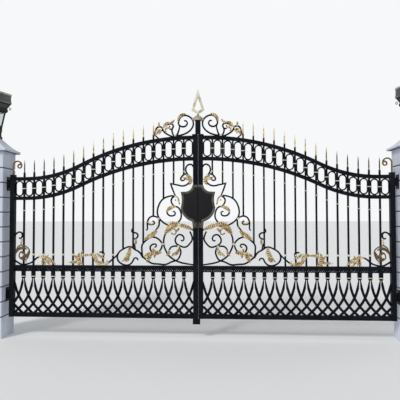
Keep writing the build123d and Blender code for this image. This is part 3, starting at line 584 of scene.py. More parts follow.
panelScrolls = {
    "halfWidth": 9.0, "halfDepth": 8.8, "swell": 1.1, "taper": 80,
    "paths": [
        ((-53, 1618), 92, [(-93, 1648), (-131, 1610), (-122, 1556), (-92, 1500), (-100, 1448), (-142, 1420),
            (-200, 1420), (-250, 1431), (-302, 1448)]),
        ((-126, 1546), 185, [(-161, 1532), (-186, 1500), (-168, 1473), (-146, 1484), (-154, 1500)]),
        ((-299, 1451), -74, [(-245, 1308)]),
        ((-254, 1303), 195, [(-284, 1280), (-289, 1245), (-268, 1208), (-234, 1190)]),
        ((-258, 1304), 5, [(-226, 1292), (-209, 1255), (-197, 1216)]),
        ((-262, 1311), 181, [(-341, 1296), (-414, 1232), (-440, 1150), (-418, 1065), (-350, 1006), (-287, 996),
            (-222, 1021), (-181, 1095), (-201, 1167), (-250, 1194), (-304, 1184), (-336, 1140), (-303, 1095),
            (-262, 1097), (-248, 1128), (-274, 1136)]),
        ((-422, 1060), 130, [(-485, 1090), (-535, 1062), (-550, 1005), (-548, 960), (-567, 938)]),
        ((-548, 1022), -60, [(-519, 1001), (-484, 1003), (-475, 1028), (-497, 1036)]),
        ((-422, 1062), -82, [(-421, 1005), (-440, 962), (-478, 912)]),
        ((-50, 936), 140, [(-146, 985), (-222, 1000), (-300, 972), (-349, 905), (-369, 850), (-372, 795), (-360, 745),
            (-336, 695), (-296, 647), (-243, 614), (-150, 584), (-48, 569)]),
        ((-90, 927), -60, [(-66, 870), (-75, 815), (-110, 773), (-163, 759), (-222, 785), (-246, 838), (-222, 882),
            (-182, 889), (-154, 858), (-161, 829), (-184, 836)]),
        ((-211, 766), 172, [(-260, 768), (-303, 742), (-316, 705), (-336, 680)]),
        ((-386, 790), 115, [(-422, 838), (-478, 864), (-540, 848), (-588, 806), (-610, 745), (-608, 690), (-584, 640),
            (-530, 599), (-465, 577), (-390, 571), (-315, 585), (-250, 610), (-208, 640), (-188, 690), (-194, 738),
            (-211, 766)]),
        ((-387, 788), -95, [(-402, 735), (-438, 702), (-487, 702), (-518, 740), (-502, 780), (-468, 790), (-453, 766),
            (-474, 758)]),
        ((-608, 655), 103, [(-659, 717), (-705, 746), (-765, 757), (-840, 718), (-877, 650), (-850, 590), (-785, 562),
            (-722, 585), (-698, 625), (-675, 641), (-654, 612)]),
        ((-697, 846), -5, [(-667, 854), (-653, 882), (-672, 908), (-705, 915), (-718, 940), (-708, 962)]),
        ((-680, 735), 100, [(-697, 800)]),
        ((-604, 696), -90, [(-604, 640)]),
        ((-1010, 570), 20, [(-958, 600), (-900, 650), (-866, 694)]),
        ((-1075, 700), 10, [(-1045, 702), (-1025, 670), (-1030, 640)]),
        ((-2020, 870), 70, [(-1975, 916), (-1932, 885), (-1946, 852), (-1966, 862)]),
        ((-2020, 612), -35, [(-1958, 574), (-1900, 565), (-1847, 578), (-1797, 610), (-1747, 646), (-1690, 652)]),
    ],
}


def scrollShape(group):
    # a bar swept along every path, in one shape
    return joined(barSweep(tangentPath(*path), group["halfWidth"], group["halfDepth"],
                           swell=(1.0, group["swell"]), taper=group["taper"]) for path in group["paths"])


leafPiece("crestScrolls", scrollShape(crestScrolls), blackIron, "crest_scrolls")
leafPiece("panelScrolls", scrollShape(panelScrolls), blackIron, "panel_scrolls")
print("scrolls done")

# Acanthus leaves: start, heading, length, width and turn of the midrib; tendrils are gilt bars
leaves = {
    "lobeLength": 21.0, "rowsPerLobe": 9, "notch": 0.56, "forward": 0.42, "crown": 5.0, "groove": 3.0, "ripple": 4.0,
    "back": -8.0, "edge": 1.6, "around": 20, "rosetteShade": 0.27,
    "firstTooth": 0.3, "peak": 0.72, "thin": 0.6, "grooveAt": 0.3, "grooveHalf": 0.14, "fullAt": 10.0,
    # tones of the painted shade in the notches, the grooves and on the back, and of the painted highlight on the
    # midrib
    "notchShade": 0.10, "grooveShade": 0.5, "ribHighlight": 0.7, "backShade": 0.3, "endTone": 0.4,
    "places": [
        # crest
        (-132, 2193, 176, 142, 42, 100), (-372, 2050, 76, 92, 44, -70), (-318, 2092, 8, 84, 34, 50),
        (-422, 2054, 100, 58, 28, -20), (-390, 2036, 62, 76, 30, -74), (-462, 1962, 72, 90, 34, -66),
        (-300, 2040, 160, 70, 28, 60), (-468, 2030, -60, 60, 26, -40),
        (-350, 2040, -100, 56, 22, 40),
        # beside the shield, on the great spiral and under the shield
        (-132, 1530, -10, 138, 56, -125), (-98, 1500, 200, 74, 34, -60), (-240, 1192, 175, 132, 48, 75),
        (-272, 1190, 205, 60, 30, -40),
        (-60, 944, 150, 190, 58, 24), (-186, 996, 166, 190, 92, 70), (-250, 984, 196, 150, 74, 44),
        (-300, 948, 196, 66, 34, 60), (-196, 962, 210, 70, 34, 30),
        (-442, 936, 224, 166, 66, -22), (-470, 882, 198, 124, 40, 10),
        # in the rings below
        (-392, 704, 188, 156, 62, -8), (-500, 706, 238, 128, 62, 16), (-462, 700, 130, 56, 30, -20),
        (-468, 694, 262, 56, 30, 20), (-534, 690, 205, 66, 32, 30),
        (-342, 662, 44, 82, 34, 30), (-206, 752, -100, 96, 46, -30), (-286, 652, 62, 86, 30, -40),
        (-742, 756, -82, 190, 62, -74), (-676, 848, -80, 74, 30, -20), (-790, 600, 20, 70, 34, 50),
        # three clusters along the lock rail
        (-1176, 676, -4, 100, 58, -50), (-1132, 668, -78, 206, 54, 88), (-1096, 694, -62, 112, 34, 60),
        (-1090, 604, -30, 92, 32, 40),
        (-1294, 556, 100, 140, 66, -20), (-1302, 592, 176, 116, 38, 10), (-1304, 632, 140, 66, 28, 10),
        (-1300, 640, 36, 152, 36, -52), (-1292, 606, -48, 76, 32, -16), (-1276, 668, 60, 60, 28, 30),
        (-1748, 652, 8, 226, 30, -62), (-1706, 668, -10, 166, 22, -56), (-1632, 672, -132, 138, 24, 6),
        (-1662, 618, -12, 124, 22, -30), (-1712, 606, -62, 62, 22, 20), (-1690, 636, -42, 112, 20, -20),
        (-1668, 600, -96, 54, 20, -30),
    ],
    "rosette": [
        (-1994, 690, 80, 158, 44, -130), (-1854, 716, -92, 158, 44, -110), (-1956, 690, 40, 104, 36, -170),
    ],
    "balls": [(-243, 1263, 9), (-440, 976, 9), (-1938, 830, 11), (-1888, 600, 12), (-112, 1487, 12), (-218, 712, 10),
              (-1326, 628, 9), (-1268, 602, 8), (-1402, 590, 9), (-986, 606, 9), (-1590, 600, 8), (-1112, 682, 10)],
    "tendril": 6.6, "tendrilDepth": 6.0,
    "tendrils": [
        ((-344, 904), 76, [(-306, 956), (-252, 950), (-238, 914), (-266, 896), (-288, 912)], 0.45),
        ((-424, 1974), 55, [(-402, 2004), (-418, 2030), (-438, 2014)], 0.8),
        ((-254, 1302), 0, [(-226, 1290), (-211, 1258), (-202, 1224)], 0.9),
        ((-545, 1030), -50, [(-519, 1009), (-490, 1010), (-481, 1028)], 0.7),
        ((-2004, 640), 88, [(-1984, 742), (-1922, 776), (-1862, 744), (-1846, 690), (-1866, 638), (-1908, 616),
            (-1948, 634), (-1960, 670), (-1942, 700), (-1914, 702)], 0.14),
        ((-1944, 772), 80, [(-1938, 818)], 0.7),
        ((-1128, 650), -70, [(-1094, 590), (-1034, 566), (-966, 588)], 0.8),
        ((-1738, 646), 10, [(-1672, 628), (-1604, 560)], 0.8),
    ],
}


def leafSurface(x, z, heading, length, width, turn):
    # along the bent midrib the width swells; its edge climbs to each lobe's point and drops back in a saw wave.
    # Across it the leaf is crowned and grooved; points stand forward, and hollows lie behind them
    lobes = max(3, round(length / leaves["lobeLength"]))
    rows = lobes * leaves["rowsPerLobe"] + 1
    u = np.linspace(0, 1, rows)[:, None]
    angle = 2 * math.pi * (np.arange(leaves["around"]) + 0.5)[None, :] / leaves["around"]
    v, front = np.cos(angle), np.sin(angle) > 0
    way = np.radians(heading + turn * u)
    step = length / (rows - 1)
    midX = x + np.concatenate([[0], np.cumsum(np.cos(way[1:, 0]) * step)])[:, None]
    midZ = z + np.concatenate([[0], np.cumsum(np.sin(way[1:, 0]) * step)])[:, None]
    phase = (lobes * u + leaves["firstTooth"]) % 1
    tooth = np.sin(math.pi / 2 * np.minimum(phase / leaves["peak"], (1 - phase) / (1 - leaves["peak"])))
    half = width / 2 * np.sin(math.pi * (0.07 + 0.90 * u) ** 0.8) * (1 - leaves["notch"] * (1 - tooth))
    half = np.maximum(half, leaves["thin"])
    forward = leaves["forward"] * np.abs(v) ** 1.5 * half
    px = midX - np.sin(way) * v * half + np.cos(way) * forward
    pz = midZ + np.cos(way) * v * half + np.sin(way) * forward
    thick = np.minimum(1, half / leaves["fullAt"])
    crown = leaves["crown"] * (1 - v**2) * thick
    groove = leaves["groove"] * np.exp(-(((np.abs(v) - leaves["grooveAt"]) / leaves["grooveHalf"]) ** 2)) * thick
    ripple = leaves["ripple"] * tooth * np.abs(v) * (1 - np.abs(v) ** 6) * thick
    rise = crown - groove + ripple + leaves["edge"]
    y = np.where(front, leaves["back"] - rise, leaves["back"] + 0 * rise)
    # painted shade darkens the notches between the lobes, the grooves and the back of the leaf; a painted highlight
    # lightens the midrib
    light = leaves["notchShade"] + (1 - leaves["notchShade"]) * tooth**1.6
    light = light - leaves["grooveShade"] * groove / leaves["groove"]
    light = light + leaves["ribHighlight"] * np.exp(-((v / leaves["grooveHalf"]) ** 2))
    relief = np.where(front, np.clip(light, 0, 1), leaves["backShade"]).ravel()
    return closedGrid(np.stack([px, y, pz], axis=-1)), np.concatenate([relief, [leaves["endTone"]] * 2])


gilt = []
for group, shade in (("places", 1.0), ("rosette", leaves["rosetteShade"])):
    for place in leaves[group]:
        shape, relief = leafSurface(*place)
        gilt.append((shape, relief * shade))
for *path, tone in leaves["tendrils"]:
    gilt.append((barSweep(tangentPath(*path), leaves["tendril"], leaves["tendrilDepth"], power=2.2, swell=(1.0, 1.4),
                          depthAt=leaves["back"] - 4.0), tone))
for x, z, radius in leaves["balls"]:
    gilt.append((turnedMany([[x, leaves["back"], z]], ballProfile(radius), 14, 2.0), 1.0))
giltBody, giltRelief = shaded(gilt)
leafPiece("acanthusLeaves", giltBody, leafGold, "gilt_leaves", giltRelief, 60)
print("leaves done")

# Interlaced lattice: two bars leave each block, curve apart and cross their neighbours
lattice = {"bar": 28.0, "depth": 8.0, "offset": 3.2, "radius": 490.0, "lean": 3.0, "turn": 43.6, "start": 7.0,
           "pitch": 110.0}


def latticeShape():
    # an arc that starts down and leaning out, then a straight run to the bottom rail;
    # strips of the bars beyond the stiles come in from the side
    shapes = []
    arc = np.radians(lattice["lean"] + np.linspace(0, lattice["turn"], 14))
    lean = math.radians(lattice["lean"])
    out = lattice["start"] + lattice["radius"] * (math.cos(lean) - np.cos(arc))
    down = lattice["radius"] * (np.sin(arc) - math.sin(lean))
    fall = gate["blockBottom"] - down[-1]
    steps = np.linspace(0, 1, 6)[1:]
    out = np.concatenate([out, out[-1] + steps * fall * math.tan(arc[-1])])
    down = np.concatenate([down, down[-1] + steps * fall])
    beyond = np.array([2, 1]) * lattice["pitch"]
    for side in (-1, 1):
        for x in np.concatenate([barX[0] + beyond, barX, barX[-1] - beyond]):
            ends = sorted(side * (edge - x) for edge in (innerStart, innerEnd))
            near, far = max(ends[0], out[0]), min(ends[1], out[-1])
            if far - near > lattice["bar"]:
                reach = np.linspace(near, far, 20)
                path = np.stack([x + side * reach, gate["blockBottom"] - np.interp(reach, out, down)], axis=1)
                shapes.append(barSweep(path, lattice["bar"] / 2, lattice["depth"] / 2, section=8,
                                       depthAt=side * lattice["offset"]))
    return joined(shapes)


leafPiece("lattice", latticeShape(), blackIron, "lattice")
print("lattice done")

# Sleeves round the foot blocks, drawn in at the lower end
sleeves = {"half": 20.0, "depth": 13.8, "bottom": 415.0, "top": 498.0, "leastDepth": 0.96,
           "profile": [(0, 0.78), (0.02, 0.86), (0.10, 0.92), (0.24, 0.95), (0.26, 1.02), (0.97, 1.06), (1.0, 1.06)]}


def sleeveShape():
    # a square profile widens from the lattice to the block's full width
    height, width = np.array(sleeves["profile"]).T
    profile = np.stack([height * (sleeves["top"] - sleeves["bottom"]), width * sleeves["half"],
                        np.maximum(width, sleeves["leastDepth"]) * sleeves["depth"]], axis=1)
    return turnedMany(atBars(barX, sleeves["bottom"]), profile, section=12, power=9.0)


leafPiece("sleeves", sleeveShape(), blackIron)

# Frieze of small waves under the lock rail
frieze = {"strand": 6.8, "depth": 5.0, "height": 11.0, "waves": 2.5, "steps": 44, "drop": 17.0, "apart": 2.5}


def friezeShape():
    # two sine strands in opposite step run from block to block
    shapes = []
    edges = np.concatenate([[innerEnd], barX, [innerStart]])
    for right, left in zip(edges[:-1], edges[1:]):
        x = np.linspace(left, right, frieze["steps"])
        share = np.linspace(0, 1, frieze["steps"])
        for sign in (-1, 1):
            wave = sign * frieze["height"] * np.sin(2 * math.pi * frieze["waves"] * share)
            path = np.stack([x, lockRailBottom - frieze["drop"] + wave], axis=1)
            shapes.append(barSweep(path, frieze["strand"], frieze["depth"], section=6,
                                   depthAt=sign * frieze["apart"]))
    return joined(shapes)


leafPiece("frieze", friezeShape(), blackIron)
print("frieze done")

# Shield, one half on each leaf: bare field inside a raised rim
shield = {
    "top": 1424.0, "crownHalf": 58.0, "ear": 1350.0, "earHalf": 186.0, "earLength": 43.0,
    "waist": (-173.0, 1255.0), "hip": (-186.0, 1182.0), "flank": (-142.0, 1082.0), "point": (-62.0, 1032.0),
    "footHalf": 54.0, "foot": 966.0, "rim": 26.0, "rimRise": 5.0, "plate": 5.0, "dome": 6.0, "seam": 3.3,
    "earStep": 2.0, "crownBow": 0.7, "rimColumns": 18, "fieldColumns": 12, "rimSpan": 0.26, "domeRun": 45.0,
    "knot": 5.0, "knotDepth": 4.0, "knotInset": 8.0, "knotTop": 6.0, "knotSide": 7.0, "knotLift": 1.5,
}


def arcThrough(a, b, c, count):
    # the circle through three points, found with complex numbers, walked from the first to the last past the second
    a, b, c = (complex(*p) for p in (a, b, c))
    w = (c - a) / (b - a)
    centre = a + (b - a) * (w - abs(w) ** 2) / (2j * w.imag)
    first, mid, last = (np.angle(p - centre) for p in (a, b, c))
    sweep = (last - first) % (2 * math.pi)
    if (mid - first) % (2 * math.pi) > sweep:
        sweep -= 2 * math.pi
    points = centre + abs(a - centre) * np.exp(1j * (first + sweep * np.linspace(0, 1, count)))
    return np.stack([points.real, points.imag], axis=1)


def shieldEdge():
    # the outer line of the left half from the crown down to the foot
    crown = (-shield["crownHalf"], shield["top"])
    earStart = (shield["earLength"] - shield["earHalf"], shield["ear"] + shield["earStep"])
    bow = shield["crownBow"]
    hollow = (bow * crown[0] + (1 - bow) * earStart[0], (1 - bow) * crown[1] + bow * earStart[1])
    ear = (-shield["earHalf"], shield["ear"])
    return np.concatenate([
        arcThrough(crown, hollow, earStart, 30),
        arcThrough(ear, shield["waist"], shield["hip"], 34),
        arcThrough(shield["hip"], shield["flank"], shield["point"], 36)[1:],
        [[-shield["footHalf"], shield["foot"]]],
    ])


def shieldShape():
    # rows run from the edge to the seam; the height follows the true distance to the edge:
    # a half-round rim, then a field that rises softly
    edge = shieldEdge()
    share = np.concatenate([np.linspace(0, shield["rimSpan"], shield["rimColumns"])[:-1],
                            np.linspace(shield["rimSpan"], 1, shield["fieldColumns"])])
    x = edge[:, :1] * (1 - share) - shield["seam"] * share
    z = np.broadcast_to(edge[:, 1:], x.shape)
    outline = np.concatenate([[[0, shield["top"]]], edge, [[0, shield["foot"]]]])
    a, b = outline[:-1], outline[1:]
    spots = np.stack([x, z], axis=-1)[:, :, None, :]
    along = np.clip(((spots - a) * (b - a)).sum(-1) / ((b - a) ** 2).sum(-1), 0, 1)
    gap = np.linalg.norm(spots - (a + along[..., None] * (b - a)), axis=-1).min(axis=-1)
    rimShare = np.clip(gap / shield["rim"], 0, 1)
    rim = shield["rimRise"] * np.sqrt(np.clip(1 - (2 * rimShare - 1) ** 2, 0, 1))
    dome = shield["dome"] * (1 - np.exp(-((np.maximum(gap - shield["rim"], 0) / shield["domeRun"]) ** 1.2)))
    front = -(shield["plate"] + rim + dome)
    stile = (stileLow[1] - ironY) / mm
    loop = np.concatenate([np.stack([x, stile + front, z], -1), np.stack([x, 0 * x + stile, z], -1)[:, ::-1]], axis=1)
    mask = 1 - np.clip((gap - shield["rim"] + 2) / 3, 0, 1)
    relief = np.concatenate([mask, np.zeros_like(mask)], axis=1).ravel()
    return closedGrid(loop), np.concatenate([relief, [1, 1]])


def knotShape():
    # two short rounded bars cross on the foot of each half, below the point of the shield
    face = (stileLow[1] - ironY) / mm - shield["plate"] - shield["rimRise"]
    z = shield["foot"] + shield["knotInset"], shield["point"][1] - shield["knotTop"]
    x = np.linspace(shield["knotInset"] - shield["footHalf"], -shield["seam"] - shield["knotSide"], 8)
    return joined(barSweep(np.stack([x, np.linspace(*ends, 8)], 1), shield["knot"], shield["knotDepth"], power=2.4,
                           depthAt=face + shield["knotLift"] * number) for number, ends in enumerate((z, z[::-1])))


shieldBody, shieldRelief = shaded([shieldShape(), (knotShape(), 1.0)])
leafPiece("shield", shieldBody, shieldBronze, "shield", shieldRelief)
print("shield done")

# Crook on each hinge stile
crook = {"foot": 1548.0, "shank": 104.0, "bend": 46.0, "bendTurn": 200.0, "curl": 20.0, "curlTurn": 290.0,
         "fromStile": 25.0, "sunk": 4.0, "halfWidth": 7.4, "halfDepth": 8.5, "gilding": 0.24}


def crookShape():
    # a straight shank, a wide turn to the right and a tight curl at its end
    x = innerStart - crook["fromStile"]
    z = np.linspace(crook["foot"] - crook["sunk"], crook["foot"] + crook["shank"], 6)
    shank = np.stack([np.full(6, x), z], axis=1)
    bendAngle = np.radians(np.linspace(180, 180 - crook["bendTurn"], 26))[1:]
    bendCentre = np.array([x + crook["bend"], crook["foot"] + crook["shank"]])
    bend = bendCentre + crook["bend"] * np.stack([np.cos(bendAngle), np.sin(bendAngle)], axis=1)
    towards = (bendCentre - bend[-1]) / crook["bend"]
    curlCentre = bend[-1] + towards * crook["curl"]
    curlAngle = bendAngle[-1] - np.radians(np.linspace(0, crook["curlTurn"], 20))[1:]
    curl = curlCentre + crook["curl"] * np.stack([np.cos(curlAngle), np.sin(curlAngle)], axis=1)
    return barSweep(np.concatenate([shank, bend, curl]), crook["halfWidth"], crook["halfDepth"], swell=(1, 1.5))


leafPiece("crook", crookShape(), leafGold, "crook", crook["gilding"])

# Finial: an open kite of flat bar on a turned stem
finial = {"base": 2145.0, "foot": 46.0, "shoulder": 90.0, "half": 71.0, "tip": 320.0, "bar": 27.0, "depth": 9.0,
          "capLow": 2122.0, "capTone": 0.68, "stemTone": 0.7,
          "stem": [(20, 24), (27, 22), (31, 14), (34, 9), (37, 13), (42, 14), (47, 10), (54, 8)],
          "cap": [(0, 40), (2, 43), (10, 43.5), (14, 40), (17, 39), (23, 43), (28, 43.5), (31, 40), (42, 34),
                  (47, 27), (50, 20)]}


def finialShape():
    # the section runs between an outer and an inner kite, whose corners share one mitre line;
    # under it a turned stem stands on a square moulded cap
    low, wide, high = finial["foot"], finial["shoulder"], finial["tip"]
    outer = np.array([[0, low], [-finial["half"], wide], [0, high], [finial["half"], wide]])
    before, after = outer - np.roll(outer, 1, 0), np.roll(outer, -1, 0) - outer
    normals = [np.stack([v[:, 1], -v[:, 0]], 1) / np.linalg.norm(v, axis=1)[:, None] for v in (before, after)]
    bisector = normals[0] + normals[1]
    inner = outer + finial["bar"] * bisector / (bisector * normals[0]).sum(1)[:, None]
    across, deep = superRing(10, 4.0)
    flat = (outer + inner)[:, None] / 2 + (outer - inner)[:, None] / 2 * across[None, :, None]
    y = np.broadcast_to(-deep * finial["depth"], flat.shape[:2])
    kite = closedGrid(np.stack([flat[..., 0], y, flat[..., 1] + finial["base"]], -1), closeRows=True)
    stem, cap = (np.array(finial[part], float)[:, [0, 1, 1]] for part in ("stem", "cap"))
    return shaded([(kite, 1.0), (turnedMany([[0, 0, finial["base"]]], stem, 14, 2.0), finial["stemTone"]),
                   (turnedMany([[0, 0, finial["capLow"]]], cap, 20, 9.0), finial["capTone"])])


finialBody, finialRelief = finialShape()
putPiece("finialKite", turnedOut(inGate(finialBody[0]), *finialBody[1:]), finialGold, "left_leaf",
         ("finial",), finialRelief)

# Wings that carry the post's cap on over each crest, and thin lips that close the seam at the back
wings = {"near": 46.0, "far": 63.0, "low": 2121.0, "high": 2153.0, "front": -19.0, "back": 4.0, "bevel": 4.0}
lip = {"seam": 3.3, "gap": 0.6, "deep": 6.0, "short": 1.0, "bevel": 0.5}


def blockShape(low, high, bevel):
    # a block whose upper and lower edges are cut back by the bevel
    centre, half = middleOf(low, high)
    side, cutBack = np.array([[-1, 1], [-1, 0], [1, 0], [1, 1]]).T
    corners = np.array([[-1, -1], [1, -1], [1, 1], [-1, 1]])
    flat = centre[:2] + corners * (half[:2] - bevel * cutBack[:, None, None])
    return stacked(flat, centre[2] + side * (half[2] - bevel * (1 - cutBack)))


wingBody = blockShape((-wings["far"], wings["front"], wings["low"]),
                      (-wings["near"], wings["back"], wings["high"]), wings["bevel"])
leafPiece("capWings", wingBody, finialGold, relief=finial["capTone"])
stileBack = (stileHigh[1] - ironY) / mm
lipBody = blockShape((-lip["seam"], stileBack - lip["deep"], (stileLow[2] - floorZ) / mm + lip["short"]),
                     (-lip["gap"], stileBack, (stileHigh[2] - floorZ) / mm - lip["short"]), lip["bevel"])
leafPiece("seamLips", lipBody, blackIron)
print("crooks and finial done")

# Piers: coursed blocks with rounded edges under a hollow-sloped cap
pier = {"base": 0.230, "course": 0.161, "jointDepth": 0.009, "jointHalf": 0.0062, "corner": 0.006, "edgeRound": 2.4,
        "near": [0.0025, 0.0055, 0.0085, 0.012, 0.018, 0.030]}
pierCap = {"edge": 0.16, "edgeDrawn": 0.006, "neck": 0.33, "hollow": 1.35, "corner": 0.006,
           "paintedShadeRows": [(0, 0.12), (0.02, 0.6), (0.05, 1)],
           "edgeRows": [(0, 0.06), (0, 0.02), (0.02, 0.004), (0.05, 0), (0.13, 0), (0.16, 0.006)]}


def pierShape(low, high):
    # the outline steps in at every joint; beside the joint the block's edge is rounded
    centre, half = middleOf(low, high)
    joints = np.arange(low[2] + pier["base"], high[2] - pier["course"] / 2, pier["course"])
    near = np.concatenate([np.negative(pier["near"]), [0], pier["near"]])
    z = np.unique(np.concatenate([[low[2]], (joints[:, None] + near).ravel(), [high[2]]]))
    gap = np.abs(z[:, None] - joints[None]).min(axis=1)
    inset = pier["jointDepth"] * np.exp(-((gap / pier["jointHalf"]) ** pier["edgeRound"]))
    loops = roundedLoop(half[0] - inset, half[1] - inset, np.full(len(z), pier["corner"]), 6, 4)
    relief = np.repeat(1 - np.clip(inset / pier["jointDepth"] * 1.5 - 0.2, 0, 1), loops.shape[1])
    return stacked(loops + centre[:2], z), np.concatenate([relief, [1, 1]])


def capShape(low, high):
    # a thin edge with a small round, a hollow sweep upwards and a flat top; the underside is darkened as painted shade
    # under the overhang
    centre, half = middleOf(low, high)
    share = np.linspace(0, 1, 16)[1:]
    edge = np.array(pierCap["edgeRows"])
    height = np.concatenate([edge[:, 0], pierCap["edge"] + (1 - pierCap["edge"]) * share ** pierCap["hollow"]])
    shrink = np.concatenate([edge[:, 1], pierCap["edgeDrawn"] + (1 - pierCap["neck"]) * share])
    loops = roundedLoop(half[0] * (1 - shrink), half[1] * (1 - shrink), np.full(len(shrink), pierCap["corner"]), 5, 4)
    shade = np.interp(height, *np.array(pierCap["paintedShadeRows"]).T)
    shape = stacked(loops + centre[:2], low[2] + (high[2] - low[2]) * height)
    return shape, np.concatenate([np.repeat(shade, loops.shape[1]), shade[[0, -1]]])


for _, side in leafSides:
    for name, node, makeShape, angle in (("pierCourses", "pier", pierShape, 50),
                                         ("pierCap", "pier_cap", capShape, 35)):
        body, relief = makeShape(*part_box(f"{side}_{node}"))
        putPiece(f"{side}_{name}", body, paleStone, "root", (f"{side}_{node}",), relief, angle)
print("piers done")

# Lanterns: heights above the cap with half widths, and a tone that runs from black at 0 to the light edge at 1
lantern = {
    "stand": [(-6, 74, 0), (12, 74, 0.3), (20, 70, 0), (30, 66, 0), (60, 66, 0), (72, 69, 0.3), (84, 71, 0.2),
              (118, 71, 0), (128, 73, 0.2), (134, 75, 0.4), (142, 75, 0.3), (146, 70, 0)],
    "hood": [(289, 78, 0), (290, 92, 0), (294, 98, 0), (303, 108, 0), (315, 112, 0.05), (328, 112, 0.05),
             (334, 108, 0), (340, 106, 0), (346, 108, 0.3), (368, 120, 0.32), (382, 126, 0.3), (387, 128, 0),
             (395, 134, 0), (401, 138.4, 0.6), (412, 139, 0.6), (417, 137, 0.3), (421, 135, 0.45), (462, 134, 0.52),
             (488, 135, 0.5), (492, 138.4, 0.9), (501, 139, 1), (510, 138, 1), (513, 131, 0.7), (520, 97, 0.6),
             (527, 63, 0.6), (533, 44, 0.7), (535, 40, 0.7)],
    "bars": [(142, 66), (296, 88)], "bar": 8.0, "pane": 1.5, "ring": 13.0, "wire": 3.2, "ringAt": (126, 344),
    "swing": {"left": -19.0, "right": 19.0}, "corners": [(-1, -1), (1, -1), (1, 1), (-1, 1)],
    "round": 4.0,
}


def squareShape(rows):
    # square loops with small round corners, stacked by height
    rows = np.array(rows, float)
    loops = roundedLoop(rows[:, 1], rows[:, 1], np.minimum(lantern["round"], rows[:, 1] / 4), 4, 4)
    return stacked(loops, rows[:, 0]), np.concatenate([np.repeat(rows[:, 2], loops.shape[1]), rows[[0, -1], 2]])


def lanternShape():
    # stand and hood, four leaning corner bars and a wire ring under each corner of the hood
    corners, ends = np.array(lantern["corners"]), np.array(lantern["bars"], float)
    section = superRing(8, 6.0).T * lantern["bar"]
    bars = stacked(corners[:, None, None] * ends[None, :, None, 1:] + section, ends[:, 0])
    angle = np.linspace(0, 2 * math.pi, 25)[:-1]
    out, height = lantern["ringAt"]
    circle = lantern["ring"] * np.stack([np.cos(angle), np.sin(angle)], axis=1)
    rings = joined(barSweep(circle + (x * out, height), lantern["wire"], lantern["wire"], section=8, power=2.0,
                            depthAt=y * out, closed=True) for x, y in corners)
    return shaded([squareShape(lantern["stand"]), squareShape(lantern["hood"]), (bars, 0.0), (rings, 0.0)])


def paneShape():
    # four thin panes between the corner bars, each leaning out with its side
    ends, loop = np.array(lantern["bars"], float), np.array(lantern["corners"])
    along = loop[None, :, 0] * (ends[:, 1:] - lantern["bar"] + 1)
    out = ends[:, 1:] + loop[None, :, 1] * lantern["pane"]
    z = np.broadcast_to(ends[:, :1], along.shape)
    return closedGrid(np.stack([np.stack([x, y, z], -1)
                                for x, y in ((along, out), (-out, along), (-along, -out), (out, -along))]))


def swung(points, degrees):
    # the points turned about the lantern's own upright axis
    c, s = math.cos(math.radians(degrees)), math.sin(math.radians(degrees))
    return points @ np.array([[c, s, 0], [-s, c, 0], [0, 0, 1]])


lanternBody, lanternRelief = lanternShape()
panes = paneShape()
for _, side in leafSides:
    centre, half = middleOf(*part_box(f"{side}_lantern"))
    for name, shape, finish, slotName, node, relief in (
            ("lanternFrame", lanternBody, lanternMetal, "lantern_metal", "lantern", lanternRelief),
            ("lanternPanes", panes, lanternGlass, "lantern_glass", "lantern_glass", None)):
        placed = swung(shape[0] * mm, lantern["swing"][side]) + centre - (0, 0, half[2])
        putPiece(f"{side}_{name}", turnedOut(placed, *shape[1:]), finish, "root", (f"{side}_{node}",),
                 relief, 30)
print("lanterns done")

# Floor, light and camera
studio = {"floor": ((0.76, 0.76, 0.75, 1), (0.80, 0.80, 0.79, 1)), "floorRough": 0.9, "floorReach": 60.0,
          "floorClouds": (0.7, 3.0), "floorDrop": 0.001,
          "sky": (0.93, 0.96, 1.0, 1), "skyStrength": 0.62, "backdrop": (0.93, 0.94, 0.95, 1),
          "sunStrength": 1.7, "sunAngle": 12.0, "sunTurn": (52, 6, -40)}


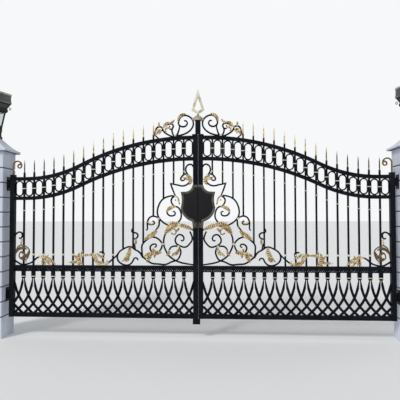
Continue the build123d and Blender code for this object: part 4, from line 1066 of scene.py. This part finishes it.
def makeFloor():
    # a flat square, just under the piers, with faint clouds
    material, tree, shader, place = newMaterial("Pale studio floor")
    clouds = noise(tree, place, *studio["floorClouds"])
    setInputs(tree, shader, {"Base Color": blended(tree, clouds, *studio["floor"]), "Roughness": studio["floorRough"]})
    mesh = bpy.data.meshes.new("studioFloor")
    reach = studio["floorReach"]
    corners = [(x * reach, y * reach, -studio["floorDrop"]) for x, y in lantern["corners"]]
    mesh.from_pydata(corners, [], [(0, 1, 2, 3)])
    mesh.materials.append(material)
    linked("studioFloor", mesh)


makeFloor()
world = bpy.data.worlds.new("studio")
bpy.context.scene.world = world
world.use_nodes = True
tree = world.node_tree
tree.nodes.clear()
rays = tree.nodes.new("ShaderNodeLightPath").outputs
seen = rays["Is Camera Ray"]
for ray in ("Is Glossy Ray", "Is Transmission Ray"):
    seen = addNode(tree, "ShaderNodeMath", {"operation": "MAXIMUM"}, i0=seen, i1=rays[ray]).outputs[0]
sky = addNode(tree, "ShaderNodeBackground", Color=studio["sky"], Strength=studio["skyStrength"])
backdrop = addNode(tree, "ShaderNodeBackground", Color=studio["backdrop"], Strength=1.0)
pick = addNode(tree, "ShaderNodeMixShader", i0=seen, i1=sky.outputs[0], i2=backdrop.outputs[0])
addNode(tree, "ShaderNodeOutputWorld", Surface=pick.outputs[0])

sun = bpy.data.lights.new("softSun", "SUN")
sun.energy = studio["sunStrength"]
sun.angle = math.radians(studio["sunAngle"])
linked("softSun", sun).rotation_euler = Euler(np.radians(studio["sunTurn"]))

camera = {"side": 0.276, "away": 4.614, "height": 1.131, "turn": 3.17, "rise": 1.64, "roll": 0.11,
          "focalPixels": 430.0, "imagePixels": 400.0, "sensor": 36.0, "farthest": 200}
lens = bpy.data.cameras.new("photoCamera")
lens.sensor_width = camera["sensor"]
lens.lens = camera["focalPixels"] / camera["imagePixels"] * camera["sensor"]
lens.clip_end = camera["farthest"]
photoCamera = linked("photoCamera", lens)
photoCamera.location = (middleX + camera["side"], ironY - camera["away"], floorZ + camera["height"])
photoCamera.rotation_euler = Euler(np.radians([90 + camera["rise"], camera["roll"], camera["turn"]]))
bpy.context.scene.camera = photoCamera
bpy.context.scene.view_settings.view_transform = "Standard"
print("studio done")
